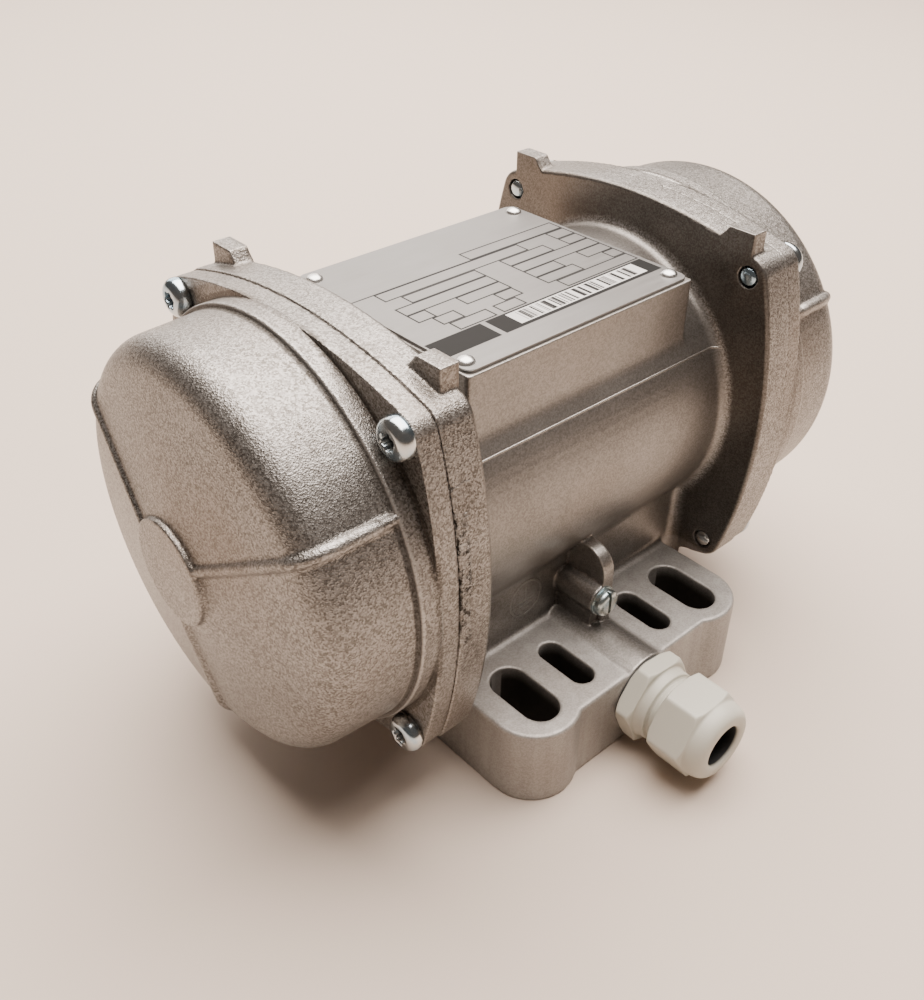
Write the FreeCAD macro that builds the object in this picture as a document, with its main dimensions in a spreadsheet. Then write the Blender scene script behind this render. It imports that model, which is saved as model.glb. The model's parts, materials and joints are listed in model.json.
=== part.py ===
import FreeCAD, Part
import math
import os
import types
import Sketcher

# A vibration motor on two slotted feet. Millimetres. The motor axis runs along Y at axis_height above
# the base plane, the front cover looks along -Y and the cable gland along +X. The origin is on the base
# plane, midway between the slots.

SIZES = {
    # Casting: end flanges, barrel and what stands on them
    "axis_height": 75.0,
    "flange_inner": 52.0,
    "flange_thick": 10.0,
    "flange_half": 57.1,
    "flange_corner": 43.6,
    "flange_round": 7.0,
    "flange_edge": 0.9,
    "barrel_radius": 44.1,
    "barrel_fillet": 3.5,
    "bore_radius": 40.0,
    "tab_top": 56.6,
    "tab_outer": 44.9,
    "tab_inner": 36.6,
    "tab_toe": 31.8,
    "tab_length": 5.4,
    "plate_seat_half_width": 35.3,
    "plate_seat_half_length": 40.7,
    "plate_seat_top": 44.3,
    "plate_seat_round": 1.2,
    # Pedestal and feet
    "pedestal_half": 32.8,
    "pedestal_fillet": 4.0,
    "pedestal_sink": 6.2,
    "foot_height": 25.5,
    "foot_half_width": 66.3,
    "foot_pad_inset": 11.2,
    "foot_pad_line": 33.8,
    "foot_pad_round": 13.4,
    "foot_edge": 1.0,
    "foot_fillet": 3.0,
    "outer_slot_place": 51.8,
    "outer_slot_line": 33.8,
    "outer_slot_length": 22.7,
    "outer_slot_width": 11.1,
    "inner_slot_place": 51.0,
    "inner_slot_line": 16.5,
    "inner_slot_length": 19.0,
    "inner_slot_width": 7.5,
    "crown_radius": 12.4,
    "crown_proud": 0.3,
    # Earth boss and the lug that guards it
    "lug_end": 47.2,
    "lug_top": 51.4,
    "lug_round": 7.5,
    "lug_front": 1.5,
    "lug_back": 5.9,
    "web_front": 2.0,
    "web_step": 0.8,
    "earth_line": 1.2,
    "earth_height": 36.0,
    "earth_boss_radius": 4.7,
    "earth_thread": 5.0,
    "earth_screw_length": 10.0,
    "earth_head_radius": 4.2,
    "earth_head_height": 2.7,
    "earth_washer_radius": 4.6,
    "earth_washer_thick": 0.6,
    # Terminal compartment in the base
    "chamber_half_width": 27.0,
    "chamber_half_length": 36.0,
    "chamber_top": 27.0,
    "recess_half_width": 35.0,
    "recess_half_length": 43.5,
    "recess_depth": 4.0,
    "base_cover_thick": 2.5,
    "base_gasket_thick": 1.0,
    "base_screw_place": 30.3,
    "base_screw_line": 39.2,
    "base_screw_thread": 4.0,
    "base_screw_head_radius": 3.6,
    "base_screw_length": 11.0,
    "base_hole_depth": 11.0,
    "block_half_width": 22.0,
    "block_half_length": 11.0,
    "block_round": 1.5,
    "block_height": 10.0,
    "block_screw_thread": 4.0,
    "block_screw_length": 6.0,
    "block_screw_head_radius": 3.4,
    "block_screw_head_height": 2.4,
    "stud_radius": 2.0,
    "stud_spacing": 9.0,
    "stud_drop": 7.0,
    "stud_nut_width": 7.0,
    "stud_nut_height": 3.0,
    "lead_radius": 1.1,
    "lead_line": 31.0,
    "lead_bend": 6.0,
    "lead_hole_width": 6.0,
    # Covers
    "cover_set_in": 0.4,
    "cover_flange_thick": 6.0,
    "collar_radius": 56.6,
    "collar_end": 73.3,
    "collar_round": 0.5,
    "dome_radius": 55.7,
    "dome_tip_radius": 54.7,
    "dome_shoulder": 96.2,
    "dome_round": 9.0,
    "cone_end": 103.3,
    "hub_radius": 14.3,
    "hub_front": 105.0,
    "hub_round": 0.6,
    "rib_radius": 1.6,
    "rib_sink": 0.2,
    "rib_count": 3,
    "cavity_radius": 50.9,
    "cavity_shoulder": 92.4,
    "cavity_round": 5.5,
    "cavity_crown": 100.0,
    "seal_inner": 52.0,
    "seal_outer": 54.6,
    "seal_depth": 2.0,
    "seal_round": 0.8,
    "cover_screw_spacing": 89.2,
    "cover_screw_thread": 6.0,
    "cover_screw_length": 16.2,
    "cover_screw_head_radius": 5.3,
    "cover_screw_head_height": 4.0,
    # Nameplate
    "plate_half_width": 34.4,
    "plate_half_length": 39.9,
    "plate_thick": 0.8,
    "plate_round": 2.5,
    "rivet_place": 30.0,
    "rivet_line": 36.8,
    "rivet_radius": 1.5,
    "rivet_head_radius": 2.7,
    "rivet_head_height": 1.3,
    "rivet_length": 5.0,
    # Cable gland, M20
    "gland_height": 15.3,
    "gland_thread": 20.0,
    "gland_thread_depth": 12.0,
    "gland_washer_radius": 11.8,
    "gland_washer_thick": 0.6,
    "gland_hex_width": 24.0,
    "gland_hex_length": 5.3,
    "gland_collar_radius": 10.9,
    "gland_collar_length": 3.2,
    "gland_neck_radius": 9.8,
    "gland_neck_end": 20.0,
    "gland_bore_radius": 7.2,
    "gland_seat_radius": 8.6,
    "gland_seat_depth": 7.0,
    "insert_inner_radius": 6.2,
    "insert_proud": 2.5,
    "insert_round": 1.5,
    "nut_start": 12.1,
    "nut_hex_length": 11.5,
    "nut_front": 28.7,
    "nut_dome_radius": 11.9,
    "nut_dome_bow": 7.5,
    "nut_front_radius": 8.6,
    "nut_mouth_radius": 6.4,
    "passage_radius": 7.2,
    # Stator
    "stator_inner": 23.0,
    "stator_half": 22.0,
    "slot_count": 24,
    "slot_mouth": 1.6,
    "slot_start": 25.2,
    "slot_end": 35.8,
    "slot_start_width": 3.2,
    "slot_end_width": 5.4,
    "winding_inner": 25.6,
    "winding_outer": 37.4,
    "winding_end": 40.5,
    "winding_round": 4.0,
    "winding_start": 22.3,
    # Bearing shields
    "shield_seat_radius": 50.0,
    "shield_rim_thick": 4.0,
    "shield_skirt_start": 47.0,
    "shield_skirt_inner": 36.0,
    "shield_web_start": 56.0,
    "shield_hub_radius": 28.0,
    "shield_hub_end": 64.6,
    "shield_lip_start": 46.0,
    "shield_lip_radius": 13.0,
    "shield_round": 2.0,
    "shield_screw_inset": 4.5,
    "shield_screw_thread": 4.0,
    "shield_screw_length": 8.0,
    "shield_screw_head_radius": 3.4,
    "shield_screw_head_height": 2.4,
    # Ball bearings, 15 x 42 x 13
    "bearing_start": 48.0,
    "bearing_width": 13.0,
    "bearing_outer": 21.0,
    "bearing_pitch": 14.25,
    "ball_radius": 3.95,
    "ball_gap": 0.08,
    "ball_count": 7,
    "outer_land": 17.2,
    "inner_land": 11.3,
    "cage_inner": 13.2,
    "cage_outer": 15.3,
    "cage_half": 4.8,
    "bearing_ring_thick": 1.7,
    "bearing_ring_depth": 1.2,
    "bearing_ring_inner": 18.6,
    # Rotor and shaft
    "rotor_radius": 22.5,
    "rotor_half": 22.0,
    "rotor_bar_circle": 19.2,
    "rotor_bar_radius": 1.9,
    "rotor_bar_count": 16,
    "end_ring_inner": 15.0,
    "end_ring_outer": 21.9,
    "end_ring_length": 5.0,
    "core_seat_radius": 10.0,
    "core_seat_half": 32.0,
    "shoulder_radius": 9.4,
    "journal_radius": 7.5,
    "shaft_half": 96.0,
    "shaft_chamfer": 1.0,
    # Eccentric weights
    "spacer_length": 5.0,
    "spacer_radius": 11.0,
    "weight_thick": 12.0,
    "weight_radius": 46.0,
    "weight_edge": 44.0,
    "weight_shoulder": 4.0,
    "weight_slit": 2.0,
    "clamp_half_width": 14.0,
    "clamp_top": 21.0,
    "clamp_round": 3.0,
    "clamp_bolt_height": 14.2,
    "clamp_bolt_thread": 6.0,
    "clamp_head_radius": 5.0,
    "clamp_head_height": 5.0,
    "clamp_head_round": 0.6,
    "thrust_washer_thick": 1.0,
    "thrust_washer_radius": 13.0,
    "key_half_width": 2.5,
    "key_height": 5.0,
    "key_length": 10.0,
    "shaft_ring_thick": 1.0,
    "shaft_ring_radius": 11.0,
    "shaft_ring_depth": 0.8,
    # Clearances
    "fit_gap": 0.05,
    "run_gap": 0.3,
    "slack": 0.6,
    # How far one feature reaches into the next, and the chamfer at a screw's tip
    "overlap": 1.0,
    "screw_tip": 0.5,
}

# Shares of a screw head's height and radius, and the turns of hexagons in degrees
HEAD_ROUND = 0.6
DRIVE_DEPTH = 0.55
DRIVE_WIDTH = 0.8
SLOT_WIDTH = 0.4
RIVET_ROUND = 0.8
SOCKET_DEPTH = 0.6
COUNTERSUNK_DRIVE_DEPTH = 0.4
STUD_NUT_TURN = 30
GLAND_HEX_TURN = 23
NUT_HEX_TURN = 31

UP = FreeCAD.Vector(0, 0, 1)
ALONG_X = FreeCAD.Vector(1, 0, 0)
ALONG_Y = FreeCAD.Vector(0, 1, 0)
DIAGONAL = math.sqrt(0.5)

doc = FreeCAD.newDocument("VibrationMotor")
sheet = doc.addObject("Spreadsheet::Sheet", "Dims")
for row, (alias, number) in enumerate(SIZES.items(), 1):
    sheet.set(f"A{row}", alias)
    sheet.set(f"B{row}", str(number))
    sheet.setAlias(f"B{row}", alias)
doc.recompute()


class Size:
    """A length in mm, with the formula on the sheet's cells that features are bound to."""

    def __init__(self, value, formula):
        self.value = value
        self.formula = formula

    def __add__(self, other):
        return Size(self.value + value(other), f"({self.formula} + {formula(other)})")

    def __radd__(self, other):
        return Size(value(other) + self.value, f"({formula(other)} + {self.formula})")

    def __sub__(self, other):
        return Size(self.value - value(other), f"({self.formula} - {formula(other)})")

    def __rsub__(self, other):
        return Size(value(other) - self.value, f"({formula(other)} - {self.formula})")

    def __mul__(self, other):
        return Size(self.value * value(other), f"({self.formula} * {formula(other)})")

    __rmul__ = __mul__

    def __truediv__(self, other):
        return Size(self.value / value(other), f"({self.formula} / {formula(other)})")

    def __neg__(self):
        return Size(-self.value, f"(0 - {self.formula})")


def value(size):
    return size.value if isinstance(size, Size) else float(size)


def formula(size):
    return size.formula if isinstance(size, Size) else repr(float(size))


def root(size):
    return Size(math.sqrt(size.value), f"sqrt({size.formula})")


dims = types.SimpleNamespace(**{name: Size(number, f"Dims.{name}") for name, number in SIZES.items()})


# Sketches: each point and radius is held by a constraint that is bound to the sheet

def hold_point(sketch, index, point, x, y):
    """Hold one point of a sketch at x, y from the sketch's origin."""
    for kind, axis, size in (("DistanceX", -2, x), ("DistanceY", -1, y)):
        if isinstance(size, Size):
            row = sketch.addConstraint(Sketcher.Constraint(kind, -1, 1, index, point, size.value))
            sketch.setExpression(f"Constraints[{row}]", size.formula)
        elif size == 0:
            sketch.addConstraint(Sketcher.Constraint("PointOnObject", index, point, axis))
        else:
            sketch.addConstraint(Sketcher.Constraint(kind, -1, 1, index, point, float(size)))


def hold_radius(sketch, index, radius):
    row = sketch.addConstraint(Sketcher.Constraint("Radius", index, value(radius)))
    sketch.setExpression(f"Constraints[{row}]", formula(radius))


def arc_between(start, end, centre, left_turn):
    """An arc from start to end round centre. Sketch arcs run anticlockwise, so a right turn swaps ends."""
    first, last = (start, end) if left_turn else (end, start)
    begin = math.atan2(first.y - centre.y, first.x - centre.x)
    finish = math.atan2(last.y - centre.y, last.x - centre.x)
    if finish <= begin:
        finish += 2 * math.pi
    circle_shape = Part.Circle(centre, UP, (start - centre).Length)
    return Part.ArcOfCircle(circle_shape, begin, finish)


def corner(x, y, rounding=None, bow=None, inward=False):
    """One corner of an outline: rounded, or with the next side bowed outward or inward to a radius."""
    return types.SimpleNamespace(x=x, y=y, rounding=rounding, bow=bow, inward=inward)


def outline(*corners, closed=True):
    """A chain of corners, anticlockwise where it is closed. A plain pair is a sharp corner."""
    chain = [item if isinstance(item, types.SimpleNamespace) else corner(*item) for item in corners]
    count = len(chain)
    places = [FreeCAD.Vector(value(item.x), value(item.y), 0) for item in chain]

    def add(sketch):
        starts = list(places)
        ends = list(places)
        centres = {}
        for here, item in enumerate(chain):
            if item.rounding is None:
                continue
            back = (places[here - 1] - places[here]).normalize()
            ahead = (places[(here + 1) % count] - places[here]).normalize()
            half = back.getAngle(ahead) / 2
            reach = value(item.rounding) / math.tan(half)
            ends[here] = places[here] + back * reach
            starts[here] = places[here] + ahead * reach
            middle = (back + ahead).normalize()
            centres[here] = places[here] + middle * (value(item.rounding) / math.sin(half))
        sides = []
        for here in range(count if closed else count - 1):
            start = starts[here]
            end = ends[(here + 1) % count]
            item = chain[here]
            if item.bow is None:
                index = sketch.addGeometry(Part.LineSegment(start, end), False)
                sides.append((index, 1, 2))
                continue
            chord = end - start
            rise = math.sqrt(value(item.bow) ** 2 - (chord.Length / 2) ** 2)
            across = FreeCAD.Vector(-chord.y, chord.x, 0).normalize() * (-rise if item.inward else rise)
            centre = (start + end) * 0.5 + across
            index = sketch.addGeometry(arc_between(start, end, centre, not item.inward), False)
            sides.append((index, 2, 1) if item.inward else (index, 1, 2))
            hold_radius(sketch, index, item.bow)
        for here, item in enumerate(chain):
            first_end = here == 0 and not closed
            last_end = here == count - 1 and not closed
            if first_end:
                hold_point(sketch, sides[0][0], sides[0][1], item.x, item.y)
                continue
            if last_end:
                hold_point(sketch, sides[-1][0], sides[-1][2], item.x, item.y)
                continue
            before = sides[here - 1]
            after = sides[here]
            if item.rounding is None:
                joint = Sketcher.Constraint("Coincident", before[0], before[2], after[0], after[1])
                sketch.addConstraint(joint)
                hold_point(sketch, after[0], after[1], item.x, item.y)
                continue
            turn = (places[here] - places[here - 1]).cross(places[(here + 1) % count] - places[here]).z
            left_turn = turn > 0
            arc = arc_between(ends[here], starts[here], centres[here], left_turn)
            index = sketch.addGeometry(arc, False)
            enter, leave = (1, 2) if left_turn else (2, 1)
            sketch.addConstraint(Sketcher.Constraint("Tangent", before[0], before[2], index, enter))
            sketch.addConstraint(Sketcher.Constraint("Tangent", index, leave, after[0], after[1]))
            hold_radius(sketch, index, item.rounding)
            tip = sketch.addGeometry(Part.Point(places[here]), True)
            sketch.addConstraint(Sketcher.Constraint("PointOnObject", tip, 1, before[0]))
            sketch.addConstraint(Sketcher.Constraint("PointOnObject", tip, 1, after[0]))
            hold_point(sketch, tip, 1, item.x, item.y)

    return add


def circle(x, y, radius):
    def add(sketch):
        centre = FreeCAD.Vector(value(x), value(y), 0)
        index = sketch.addGeometry(Part.Circle(centre, UP, value(radius)), False)
        hold_point(sketch, index, 3, x, y)
        hold_radius(sketch, index, radius)

    return add


def slot(x, y, length, width):
    """A round-ended slot whose length runs along the sketch's first axis."""
    radius = width / 2
    reach = length / 2 - radius

    def add(sketch):
        left = FreeCAD.Vector(value(x - reach), value(y), 0)
        right = FreeCAD.Vector(value(x + reach), value(y), 0)
        rise = FreeCAD.Vector(0, radius.value, 0)
        bottom = sketch.addGeometry(Part.LineSegment(left - rise, right - rise), False)
        end = sketch.addGeometry(arc_between(right - rise, right + rise, right, True), False)
        top = sketch.addGeometry(Part.LineSegment(right + rise, left + rise), False)
        start = sketch.addGeometry(arc_between(left + rise, left - rise, left, True), False)
        for first, second in ((bottom, end), (end, top), (top, start), (start, bottom)):
            sketch.addConstraint(Sketcher.Constraint("Tangent", first, 2, second, 1))
        hold_point(sketch, end, 3, x + reach, y)
        hold_point(sketch, start, 3, x - reach, y)
        hold_radius(sketch, end, radius)
        hold_radius(sketch, start, radius)

    return add


def rectangle(half_width, half_length, rounding=None):
    return outline(
        corner(-half_width, -half_length, rounding),
        corner(half_width, -half_length, rounding),
        corner(half_width, half_length, rounding),
        corner(-half_width, half_length, rounding),
    )


def hexagon(x, y, across_flats, turn=0.0):
    """A hexagon with flats towards the second axis, turned by a number of degrees."""
    reach = across_flats / math.sqrt(3)
    corners = []
    for number in range(6):
        angle = math.radians(60 * number + turn)
        corners.append((x + reach * math.cos(angle), y + reach * math.sin(angle)))
    return outline(*corners)


def draw(body, name, role, shapes, at=(0, 0, 0)):
    """A sketch on one of the body's own planes, shifted in that plane and along its normal."""
    sketch = body.newObject("Sketcher::SketchObject", f"{body.Name}_{name}")
    plane = next(item for item in body.Origin.OriginFeatures if item.Role == role)
    sketch.AttachmentSupport = (plane, [""])
    sketch.MapMode = "FlatFace"
    for axis, size in zip("xyz", at):
        sketch.setExpression(f"AttachmentOffset.Base.{axis}", formula(size))
    for add in shapes:
        add(sketch)
    return sketch


# Features

pieces = []


def new_piece(label):
    body = doc.addObject("PartDesign::Body", label)
    body.Label = label
    pieces.append(body)
    return body


def add_feature(body, kind, name, sketch):
    feature = body.newObject(f"PartDesign::{kind}", f"{body.Name}_{name}")
    feature.Profile = sketch
    sketch.Visibility = False
    return feature


def pad(body, name, sketch, length, reverse=False):
    feature = add_feature(body, "Pad", name, sketch)
    feature.setExpression("Length", formula(length))
    feature.Reversed = reverse
    return feature


def pocket(body, name, sketch, length=None, reverse=False):
    """Cut a sketch into the body, away from its plane's normal, right through where no length is given."""
    feature = add_feature(body, "Pocket", name, sketch)
    if length is None:
        feature.Type = "ThroughAll"
    else:
        feature.setExpression("Length", formula(length))
    feature.Reversed = reverse
    return feature


def revolve(body, name, sketch, axis="V_Axis"):
    feature = add_feature(body, "Revolution", name, sketch)
    feature.ReferenceAxis = (sketch, [axis])
    feature.Angle = 360
    return feature


def groove(body, name, sketch, axis="V_Axis"):
    feature = add_feature(body, "Groove", name, sketch)
    feature.ReferenceAxis = (sketch, [axis])
    feature.Angle = 360
    return feature


def ring_of(body, name, features, count):
    """Repeat features round the body's own Z axis."""
    pattern = body.newObject("PartDesign::PolarPattern", f"{body.Name}_{name}")
    pattern.Originals = features
    turning_axis = next(item for item in body.Origin.OriginFeatures if item.Role == "Z_Axis")
    pattern.Axis = (turning_axis, [""])
    pattern.Angle = 360
    if isinstance(count, Size):
        pattern.setExpression("Occurrences", count.formula)
    else:
        pattern.Occurrences = count
    body.Tip = pattern
    return pattern


def pipe(body, name, spine, section):
    feature = add_feature(body, "AdditivePipe", name, section)
    feature.Spine = spine
    spine.Visibility = False
    return feature


def round_edges(body, name, base, radius, wanted):
    """Fillet the edges of a feature that pass a test."""
    doc.recompute()
    feature = body.newObject("PartDesign::Fillet", f"{body.Name}_{name}")
    names = [f"Edge{number}" for number, edge in enumerate(base.Shape.Edges, 1) if wanted(edge)]
    feature.Base = (base, names)
    feature.setExpression("Radius", formula(radius))
    return feature


def turned(label, corners):
    """A piece turned about its own Z axis, from an outline of radius and height."""
    body = new_piece(label)
    revolve(body, "turning", draw(body, "section", "XZ_Plane", [outline(*corners)]))
    return body


def screw(body, seat, length, thread, head_radius, head_height, at=(0, 0), drive=None):
    """A round-headed screw that points down from its seat, with a socket or slot cut in its head."""
    radius = thread / 2
    tip = seat - length
    section = outline(
        (0, tip),
        (radius - dims.screw_tip, tip),
        (radius, tip + dims.screw_tip),
        (radius, seat),
        (head_radius, seat),
        corner(head_radius, seat + head_height, head_height * HEAD_ROUND),
        (0, seat + head_height),
    )
    place = (at[0], 0, -at[1])
    shank = revolve(body, "shank", draw(body, "section", "XZ_Plane", [section], at=place))
    cut = hexagon(at[0], at[1], head_radius * DRIVE_WIDTH) if drive is None else drive
    shape = draw(body, "drive_shape", "XY_Plane", [cut], at=(0, 0, seat + head_height))
    return [shank, pocket(body, "drive", shape, head_height * DRIVE_DEPTH)]


# Places along the motor axis, measured outward from its middle. At each end a piece is drawn with its own
# Z axis pointing outward along the motor axis and its own Y axis pointing up.

ENDS = ("front", "rear")
OUTWARD = {
    "front": FreeCAD.Rotation(ALONG_X, 90),
    "rear": FreeCAD.Rotation(UP, 180) * FreeCAD.Rotation(ALONG_X, 90),
}

parting = dims.flange_inner + dims.flange_thick
cover_seat = parting + dims.cover_flange_thick
screw_place = dims.cover_screw_spacing / 2
shield_seat = parting - dims.shield_rim_thick
bearing_end = dims.bearing_start + dims.bearing_width
bearing_middle = dims.bearing_start + dims.bearing_width / 2
fixed_start = bearing_end + dims.spacer_length
fixed_end = fixed_start + dims.weight_thick
washer_end = fixed_end + dims.thrust_washer_thick
loose_start = washer_end + dims.run_gap
loose_end = loose_start + dims.weight_thick
ring_start = loose_end + dims.slack
foot_half_length = dims.foot_pad_line + dims.foot_pad_round
crown_end = dims.foot_half_width + dims.crown_proud
plate_top = dims.axis_height + dims.plate_seat_top
shield_screw_place = (dims.shield_seat_radius - dims.shield_screw_inset) * DIAGONAL
block_bottom = dims.chamber_top - dims.block_height
block_screw_place = dims.block_half_width - dims.block_screw_thread
weight_drop = root(dims.weight_radius * dims.weight_radius - dims.weight_edge * dims.weight_edge)


def place_end(body, end):
    body.Placement = FreeCAD.Placement(FreeCAD.Vector(0, 0, SIZES["axis_height"]), OUTWARD[end])
    body.setExpression("Placement.Base.z", formula(dims.axis_height))


def place_under(body):
    """Turn a piece over, so that its own Z axis points down."""
    body.Placement = FreeCAD.Placement(FreeCAD.Vector(), FreeCAD.Rotation(ALONG_X, 180))


def place_sideways(body, x, y, z):
    """Turn a piece so that its own Z axis points along +X, and put its origin at x, y, z."""
    body.Placement = FreeCAD.Placement(FreeCAD.Vector(), FreeCAD.Rotation(ALONG_Y, 90))
    for axis, size in zip("xyz", (x, y, z)):
        body.setExpression(f"Placement.Base.{axis}", formula(size))


def flange_outline(set_in):
    """A square with bowed sides that run smoothly into its round corners."""
    half = dims.flange_half - set_in
    rounding = dims.flange_round - set_in
    place = dims.flange_corner
    inset = place - half
    bow = (rounding * rounding - place * place - inset * inset) / (2 * (inset + rounding))
    share = bow / (bow - rounding)
    far = half - bow + share * (inset + bow)
    near = share * place
    return outline(
        corner(far, -near, bow=bow),
        corner(far, near, bow=rounding),
        corner(near, far, bow=bow),
        corner(-near, far, bow=rounding),
        corner(-far, near, bow=bow),
        corner(-far, -near, bow=rounding),
        corner(-near, -far, bow=bow),
        corner(near, -far, bow=rounding),
    )


def four_circles(x, y, radius):
    return [circle(side * x, line * y, radius) for side in (-1, 1) for line in (-1, 1)]


# Motor body: one casting of barrel, end flanges, nameplate pad, pedestal, feet and earth boss

def make_motor_body():
    body = new_piece("motor_body")
    add_barrel(body)
    add_feet(body)
    add_gland_crown(body)
    add_earth_boss(body)
    cut_inside(body)
    cut_screw_holes(body)
    return body


def add_barrel(body):
    inner = dims.flange_inner
    radius = dims.barrel_radius
    fillet = dims.barrel_fillet
    overlap = dims.flange_thick / 2
    on_axis = (0, dims.axis_height, 0)
    barrel = outline(
        (-inner - overlap, 0),
        (inner + overlap, 0),
        (inner + overlap, radius + fillet),
        corner(inner, radius + fillet, bow=fillet, inward=True),
        (inner - fillet, radius),
        corner(-inner + fillet, radius, bow=fillet, inward=True),
        (-inner, radius + fillet),
        (-inner - overlap, radius + fillet),
    )
    revolve(body, "barrel", draw(body, "barrel_section", "YZ_Plane", [barrel], at=on_axis), "H_Axis")
    for end, start in (("front", inner), ("rear", -parting)):
        at = (0, dims.axis_height, start)
        shape = draw(body, f"{end}_flange_shape", "XZ_Plane", [flange_outline(0)], at=at)
        flange = pad(body, f"{end}_flange", shape, dims.flange_thick)
    reach = radius.value + fillet.value + dims.overlap.value
    plane = dims.flange_inner.value

    def inner_rim(edge):
        box = edge.BoundBox
        middle = edge.CenterOfMass
        flat = box.YLength < 0.01 and abs(abs(middle.y) - plane) < 0.01
        return flat and math.hypot(middle.x, middle.z - dims.axis_height.value) > reach

    round_edges(body, "flange_rims", flange, dims.flange_edge, inner_rim)
    tabs = []
    for side in (-1, 1):
        chain = [
            (side * dims.tab_outer, dims.flange_corner),
            (side * dims.tab_outer, dims.tab_top),
            (side * dims.tab_inner, dims.tab_top),
            (side * dims.tab_toe, dims.flange_corner + dims.flange_round),
            (side * dims.tab_toe, dims.flange_corner),
        ]
        tabs.append(outline(*(chain if side > 0 else chain[::-1])))
    for end, start in (("front", inner), ("rear", -inner - dims.tab_length)):
        shape = draw(body, f"{end}_tab_shapes", "XZ_Plane", tabs, at=(0, dims.axis_height, start))
        pad(body, f"{end}_tabs", shape, dims.tab_length)
    seat = rectangle(dims.plate_seat_half_width, dims.plate_seat_half_length, dims.plate_seat_round)
    shape = draw(body, "plate_seat_shape", "XY_Plane", [seat], at=(0, 0, dims.axis_height))
    pad(body, "plate_seat", shape, dims.plate_seat_top)


def add_feet(body):
    half = dims.pedestal_half
    fillet = dims.pedestal_fillet
    inner = dims.flange_inner
    pedestal = outline(
        corner(half + fillet, -inner, bow=fillet, inward=True),
        (half, -inner + fillet),
        corner(half, inner - fillet, bow=fillet, inward=True),
        (half + fillet, inner),
        corner(-half - fillet, inner, bow=fillet, inward=True),
        (-half, inner - fillet),
        corner(-half, -inner + fillet, bow=fillet, inward=True),
        (-half - fillet, -inner),
    )
    start = dims.foot_height - dims.pedestal_sink
    shape = draw(body, "pedestal_shape", "XY_Plane", [pedestal], at=(0, 0, start))
    pad(body, "pedestal", shape, dims.axis_height - dims.bore_radius * DIAGONAL - start)
    side = dims.foot_half_width
    tip = side - dims.foot_pad_inset
    rounding = dims.foot_pad_round
    inset = dims.foot_pad_inset
    meet = dims.foot_pad_line - root(rounding * rounding - inset * inset)
    foot = outline(
        (side, -meet),
        corner(side, meet, bow=rounding),
        (tip, foot_half_length),
        corner(-tip, foot_half_length, bow=rounding),
        (-side, meet),
        corner(-side, -meet, bow=rounding),
        (-tip, -foot_half_length),
        corner(tip, -foot_half_length, bow=rounding),
    )
    feet = pad(body, "feet", draw(body, "foot_shape", "XY_Plane", [foot]), dims.foot_height)

    def top_rim(edge):
        box = edge.BoundBox
        on_top = box.ZLength < 0.01 and abs(box.ZMin - dims.foot_height.value) < 0.01
        return on_top and max(abs(box.XMin), abs(box.XMax)) > half.value + fillet.value + dims.overlap.value

    round_edges(body, "foot_rims", feet, dims.foot_edge, top_rim)
    corner_fill = []
    for hand in (-1, 1):
        low = (hand * half, dims.foot_height)
        out = (hand * (half + dims.foot_fillet), dims.foot_height)
        high = (hand * half, dims.foot_height + dims.foot_fillet)
        inside = (hand * (half - dims.overlap), dims.foot_height + dims.foot_fillet)
        under = (hand * (half - dims.overlap), dims.foot_height - dims.overlap)
        beneath = (hand * (half + dims.foot_fillet), dims.foot_height - dims.overlap)
        if hand > 0:
            chain = (corner(*out, bow=dims.foot_fillet, inward=True), high, inside, under, beneath)
        else:
            chain = (corner(*high, bow=dims.foot_fillet, inward=True), out, beneath, under, inside)
        corner_fill.append(outline(*chain))
    at = (0, 0, dims.overlap - foot_half_length)
    shape = draw(body, "foot_fillets_shape", "XZ_Plane", corner_fill, at=at)
    pad(body, "foot_fillets", shape, 2 * (foot_half_length - dims.overlap))
    slots = []
    for hand in (-1, 1):
        for line in (-1, 1):
            slots.append(slot(hand * dims.outer_slot_place, line * dims.outer_slot_line,
                              dims.outer_slot_length, dims.outer_slot_width))
            slots.append(slot(hand * dims.inner_slot_place, line * dims.inner_slot_line,
                              dims.inner_slot_length, dims.inner_slot_width))
    shape = draw(body, "slot_shapes", "XY_Plane", slots, at=(0, 0, dims.foot_height))
    pocket(body, "slots", shape, dims.foot_height)


def add_gland_crown(body):
    """A round crown along the gland's axis, from the pedestal to the face that the gland screws into."""
    crown = circle(0, dims.gland_height, dims.crown_radius)
    shape = draw(body, "crown_shape", "YZ_Plane", [crown], at=(0, 0, dims.chamber_half_width))
    pad(body, "crown", shape, crown_end - dims.chamber_half_width)


def add_earth_boss(body):
    root_x = dims.pedestal_half - dims.overlap
    low = dims.foot_height - dims.overlap
    lug = outline(
        (root_x, low),
        (dims.lug_end, low),
        corner(dims.lug_end, dims.lug_top, dims.lug_round),
        (root_x, dims.lug_top),
    )
    at = (0, 0, -dims.lug_back)
    pad(body, "lug", draw(body, "lug_shape", "XZ_Plane", [lug], at=at), dims.lug_back - dims.lug_front)
    web = outline(
        (root_x, low),
        (dims.lug_end - dims.web_step, low),
        (dims.lug_end - dims.web_step, dims.earth_height),
        (root_x, dims.earth_height),
    )
    pad(body, "web", draw(body, "web_shape", "XZ_Plane", [web], at=at), dims.lug_back + dims.web_front)
    boss = circle(dims.earth_line, dims.earth_height, dims.earth_boss_radius)
    shape = draw(body, "boss_shape", "YZ_Plane", [boss], at=(0, 0, root_x))
    pad(body, "boss", shape, dims.lug_end - root_x)


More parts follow.
